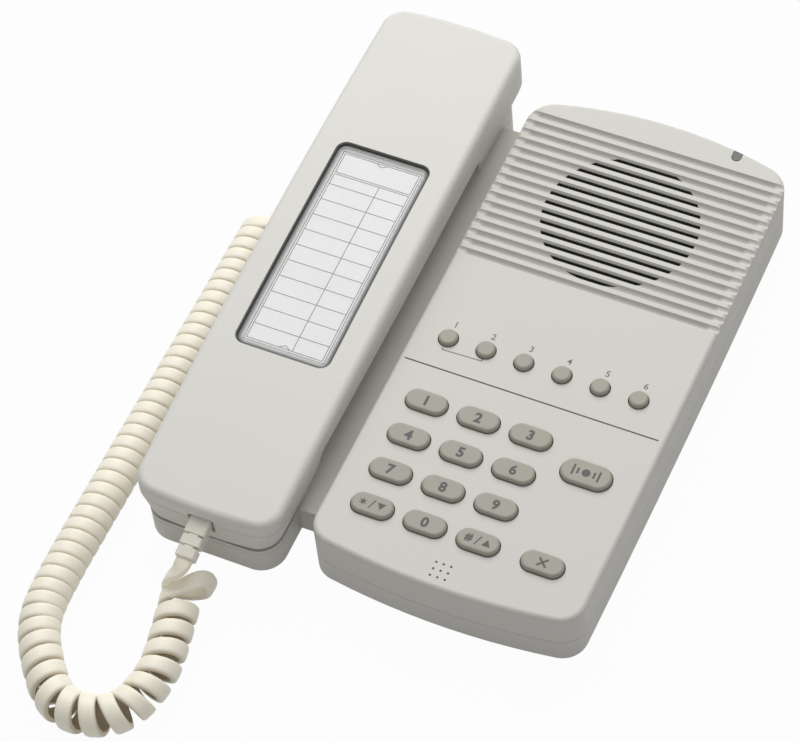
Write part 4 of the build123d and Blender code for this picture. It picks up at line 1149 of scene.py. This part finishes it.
@dataclass
class Directory:
    """The ruled card in the handset, its bevelled clear cover and the dark ring of painted shade round it.
    """

    middle: tuple = (-52.7, -0.5)
    recess: tuple = (36.0, 90.4)
    corner: float = 4.0
    least_corner: float = 0.3
    corner_points: int = 9
    side_points: tuple = (12, 30, 12, 30)
    arc: tuple = ((-111.6, 32.3), (0.0, 40.0), (111.6, 40.9))
    gap: float = 0.5
    cover_drop: float = 0.45
    cover_depth: float = 1.2
    bevel: float = 2.0
    bevel_drop: float = 0.95
    nick: tuple = (0.08, 0.1)
    flat: tuple = (4.0, 6.5, 9.0, 11.5, 14.0, 17.5)
    under: tuple = (17.5, 12.0, 8.0, 4.0, 2.0)
    seal_drop: float = 0.3
    seal_room: float = 0.03
    seal_slope: float = 0.25
    seal_rest: float = 0.05
    card_drop: float = 1.72
    print_width: float = 0.26
    print_lift: tuple = (0.04, 0.04, 0.01, 0.01)
    line_points: int = 24
    rows: int = 10
    split: float = 0.6
    margin: tuple = (2.9, 3.2)
    inner: float = 0.8
    notch: tuple = (2.2, 1.3)
    head: float = 9.4
    label: float = 5.4

    def height(self, y: Array) -> Array:
        """Height of the handset's top: the circle through the three points of the arc.

        Its middle is where the perpendicular bisectors of two chords meet.

        Args:
            y: places along the handset.

        Returns:
            The height at each.
        """
        spots = np.array(self.arc)
        chords = np.diff(spots, axis=0)
        middle = np.linalg.solve(chords, np.diff((spots**2).sum(1)) / 2)
        return middle[1] + np.sqrt(((spots[0] - middle) ** 2).sum() - (y - middle[0]) ** 2)

    def rim(self, inset: float) -> Array:
        """Outline of the recess drawn inwards: a rectangle whose corners are quarter circles.

        Args:
            inset: how far inwards.

        Returns:
            Its points, anticlockwise, each side divided so that it follows the arc.
        """
        half = np.array(self.recess) / 2 - inset
        radius = max(self.corner - inset, self.least_corner)
        angle = np.linspace(0, math.pi / 2, self.corner_points)
        corners = []
        for turn, sides in enumerate(((1, 1), (-1, 1), (-1, -1), (1, -1))):
            corners.append(around(angle + turn * math.pi / 2, radius) + (half - radius) * sides)
        lines = []
        for here, after, count in zip(corners, corners[1:] + corners[:1], self.side_points):
            share = np.linspace(0, 1, count + 2)[1:-1, None]
            lines += [here, here[-1] * (1 - share) + after[0] * share]
        return np.concatenate(lines) + self.middle

    def ringed(
        self, name: str, steps: Sequence, caps: int | None, look: Look, sharp: float, marks: Sequence
    ) -> bpy.types.Object:
        """A closed piece made of rings that follow the handset's top.

        Args:
            name: the piece's name.
            steps: (inset, drop below the top) of each ring.
            caps: the ring with a cap on it and on the next, or None for a hollow ring.
            look: its finish.
            sharp: edges over this angle in degrees stay sharp.
            marks: the first UV number of each ring.

        Returns:
            The piece.
        """
        rims = [(self.rim(inset), drop) for inset, drop in steps]
        grid = np.array([np.c_[line, self.height(line[:, 1]) - drop] for line, drop in rims])
        rows, columns = grid.shape[:2]
        faces = torus(rows, columns)
        if caps is not None:
            low, high = caps * columns, (caps + 1) * columns
            faces = [face for face in faces if not low <= face[0] < high]
            faces += [range(low, high), range(high, high + columns)[::-1]]
        uv = np.stack(np.broadcast_arrays(np.array(marks)[:, None], np.zeros(columns)), -1)
        return piece(name, grid, faces, look, "handset", "card_cover", sharp, uv)

    def cover(self) -> None:
        """The clear cover: bevelled all round, its flat middle following the handset's top."""
        top, bottom = self.cover_drop, self.cover_drop + self.cover_depth
        side = top + self.bevel_drop
        steps = [(self.gap, bottom), (self.gap, side + self.nick[1]), (self.gap + self.nick[0], side)]
        shares = np.linspace(0, 1, 5)[1:]
        bevel = [(self.bevel * s, self.bevel_drop * math.sin(s * math.pi / 2)) for s in shares]
        steps += [(self.gap + inward, side - up) for inward, up in bevel]
        steps += [(inset, top) for inset in self.flat]
        last = len(steps) - 1
        steps += [(inset, bottom) for inset in self.under]
        marks = [0.0] * 3 + list(shares) + [1.0] * (len(steps) - 7)
        made = self.ringed("bevelled_cover", steps, last, Look.COVER, 30.0, marks)
        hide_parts("card_cover")

    def seal(self) -> None:
        """A dark ring in the gap round the cover: painted shade in place of the gap's shadow."""
        near, far = self.seal_room, self.gap - self.seal_room
        low, high = self.seal_drop, self.cover_drop + self.cover_depth + self.seal_rest
        steps = [(near, high), (near, low), (far, low + self.seal_slope), (far, high)]
        # Painted shade: a dark ring that fills the gap round the cover.
        self.ringed("cover_seal", steps, None, Look.SEAL, 40.0, [0.0] * len(steps))

    def ruling(self) -> None:
        """Lines of the card: a box at its head, a label row, ten rows and two columns."""
        half = np.array(self.recess) / 2 - self.margin
        (left, low), (right, high) = self.middle - half, self.middle + half
        west, south, east, north = left + self.inner, low + self.inner, right - self.inner, high - self.inner
        top = high - self.head
        under = top - self.label
        step = (under - low) / self.rows
        column = left + (right - left) * self.split
        lines = [((x, low), (x, high)) for x in (left, right)]
        lines += [((left, y), (right, y)) for y in (low, high)]
        lines += [((west, y), (east, y)) for y in (south, top - self.inner, top, north)]
        lines += [((x, south), (x, top - self.inner)) for x in (west, east)]
        lines += [((x, top), (x, north)) for x in (west, east)]
        lines += [((west, under - step * k), (east, under - step * k)) for k in range(self.rows)]
        lines.append(((column, south), (column, top - self.inner)))
        middle = (left + right) / 2
        out, deep = self.notch
        for y, tip in ((south, south + deep), (north, north - deep)):
            lines += [((middle - out, y), (middle, tip)), ((middle, tip), (middle + out, y))]
        parts = joined([self.line(np.array(start), np.array(end)) for start, end in lines])
        piece("card_ruling", *parts, Look.PRINT, "handset", "card_paper")

    def line(self, start: Array, end: Array) -> Mesh:
        """A printed line on the card, divided so that it follows the arc.

        Args:
            start: its one end.
            end: its other end.

        Returns:
            Points and faces.
        """
        ahead = normalised(end - start)
        side = np.array([ahead[1], -ahead[0]]) * self.print_width / 2
        share = np.linspace(0, 1, self.line_points)[:, None]
        spots = start * (1 - share) + end * share
        edges = np.stack([spots + side, spots - side, spots - side, spots + side], 1)
        z = self.height(edges[..., 1]) - self.card_drop + self.print_lift
        return np.concatenate([edges, z[..., None]], -1).reshape(-1, 3), tube(len(spots), 4)

    def build(self) -> None:
        """Builds the cover, the painted shade in its gap and the ruling."""
        self.cover()
        self.seal()
        self.ruling()
        log.info("card with %d rows under its cover", self.rows)


# Studio


@dataclass
class Studio:
    """Camera, floor, lamps and world."""

    azimuth: float = 29.56
    elevation: float = 55.09
    roll: float = -6.65
    target: tuple = (-15.2, -30.0, 27.0)
    distance: float = 1218.0
    lens: float = 160.3
    sensor: float = 36.0
    farthest: float = 50.0
    floor_size: float = 9.0
    floor_colour: Colour = (0.56, 0.56, 0.56)
    floor_seen: float = 0.965
    sky: float = 0.295
    lamps: tuple = (
        ("key_lamp", (-0.4, 1.0, 1.25), 1.6, 24.0),
        ("fill_lamp", (0.35, -1.0, 1.2), 1.2, 2.0),
    )

    def camera(self) -> None:
        """Places the camera from its azimuth, elevation and roll about the target."""
        az, el, roll = (math.radians(v) for v in (self.azimuth, self.elevation, self.roll))
        back = Vector((math.sin(az) * math.cos(el), -math.cos(az) * math.cos(el), math.sin(el)))
        right = Vector((math.cos(az), math.sin(az), 0.0))
        up = back.cross(right)
        image_x = right * math.cos(roll) + up * math.sin(roll)
        image_y = up * math.cos(roll) - right * math.sin(roll)
        data = bpy.data.cameras.new("camera")
        data.lens = self.lens
        data.sensor_width = self.sensor
        data.clip_end = self.farthest
        camera = added("camera", data)
        place = Vector(self.target) * MM + back * (self.distance * MM)
        turn = Matrix((image_x, image_y, back)).transposed().to_4x4()
        camera.matrix_world = Matrix.Translation(place) @ turn
        bpy.context.scene.camera = camera

    def floor(self) -> None:
        """A pale floor that the camera sees nearly white, with a faint shadow."""
        half = self.floor_size / 2
        mesh = bpy.data.meshes.new("floor")
        corners = [(-half, -half, 0), (half, -half, 0), (half, half, 0), (-half, half, 0)]
        mesh.from_pydata(corners, [], [(0, 1, 2, 3)])
        shader = Shader("floor")
        paper = shader.node("BsdfDiffuse", {"Color": (*self.floor_colour, 1.0)})
        glow = shader.node("Emission", {"Color": WHITE, "Strength": 1.0})
        seen = shader.ray("Is Camera Ray") + shader.ray("Is Glossy Ray") + shader.ray("Is Transmission Ray")
        shader.mixed(seen * self.floor_seen, paper, glow, "OutputMaterial")
        mesh.materials.append(shader.owner)
        floor = added("floor", mesh)
        floor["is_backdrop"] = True

    def lamp(self, name: str, place: tuple, size: float, power: float) -> None:
        """Adds a square area lamp aimed at the station.

        Args:
            name: the lamp's name.
            place: its position in metres.
            size: its side in metres.
            power: its power in watts.
        """
        data = bpy.data.lights.new(name, "AREA")
        data.size = size
        data.energy = power
        lamp = added(name, data)
        lamp.location = place
        lamp.rotation_mode = "QUATERNION"
        lamp.rotation_quaternion = (-Vector(place)).to_track_quat("-Z", "Y")

    def world(self) -> None:
        """An even sky, white to the camera."""
        shader = Shader("world", world=True)
        lit = shader.node("Background", {"Color": WHITE, "Strength": self.sky})
        seen = shader.node("Background", {"Color": WHITE, "Strength": 1.0})
        shader.mixed(shader.ray("Is Camera Ray"), lit, seen, "OutputWorld")
        bpy.context.scene.world = shader.owner

    def build(self) -> None:
        """Builds the whole studio."""
        self.camera()
        self.floor()
        self.world()
        for lamp in self.lamps:
            self.lamp(*lamp)
        bpy.context.scene.view_settings.view_transform = "Standard"


@dataclass
class Carried:
    """CAD nodes whose shape is right: outer ones get a merged copy, inner ones a finish.

    A node wears the look named after its material slot unless it has its own.
    """

    outer: tuple = (
        "top_case", "bottom_case", "handset_upper_shell", "handset_lower_shell", "status_lens",
        "hook_plunger", "base_plug",
    )
    rebuilt: tuple = ("card_cover", "handset_plug", "cord_coil", "cord_handset_lead", "cord_base_lead")
    own: ClassVar[dict[str, Look]] = {
        "top_case": Look.PANEL,
        "handset_upper_shell": Look.HANDSET,
        "handset_lower_shell": Look.GRIP,
    }

    def look(self, node: str) -> Look:
        """The look of a CAD node."""
        slot = slot_of(node)
        return self.own.get(node) or next(look for look in Look if look.value.name == slot)

    def build(self) -> None:
        """Copies the outer nodes and the keys, and dresses the inner nodes."""
        nodes = [node for node in frame["nodes"] if node not in self.outer + self.rebuilt]
        keys = [n for n in nodes if n.startswith(("key_", "function_key_")) and n != "key_mat"]
        inner = [node for node in nodes if node not in keys]
        for node in (*self.outer, *keys):
            smooth_copy(node, self.look(node))
        for node in inner:
            dress(frame["nodes"][node].data, self.look(node))
        log.info("%d outer nodes, %d keys, %d inner nodes", len(self.outer), len(keys), len(inner))


def corners(box: tuple[Vector, Vector]) -> list[list[float]]:
    """A box as two lists of three numbers."""
    return [[float(v) for v in corner] for corner in box]


def main() -> None:
    """Builds the studio and the station in order."""
    logging.basicConfig(level=logging.INFO, format="%(name)s: %(message)s")
    sizes = {"cad": corners(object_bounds())}
    Studio().build()
    Carried().build()
    Directory().build()
    Legends().build()
    PanelTrim().build()
    Plug().build()
    Cord().build()
    sizes["visual"] = corners(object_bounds())


if __name__ == "__main__":
    main()
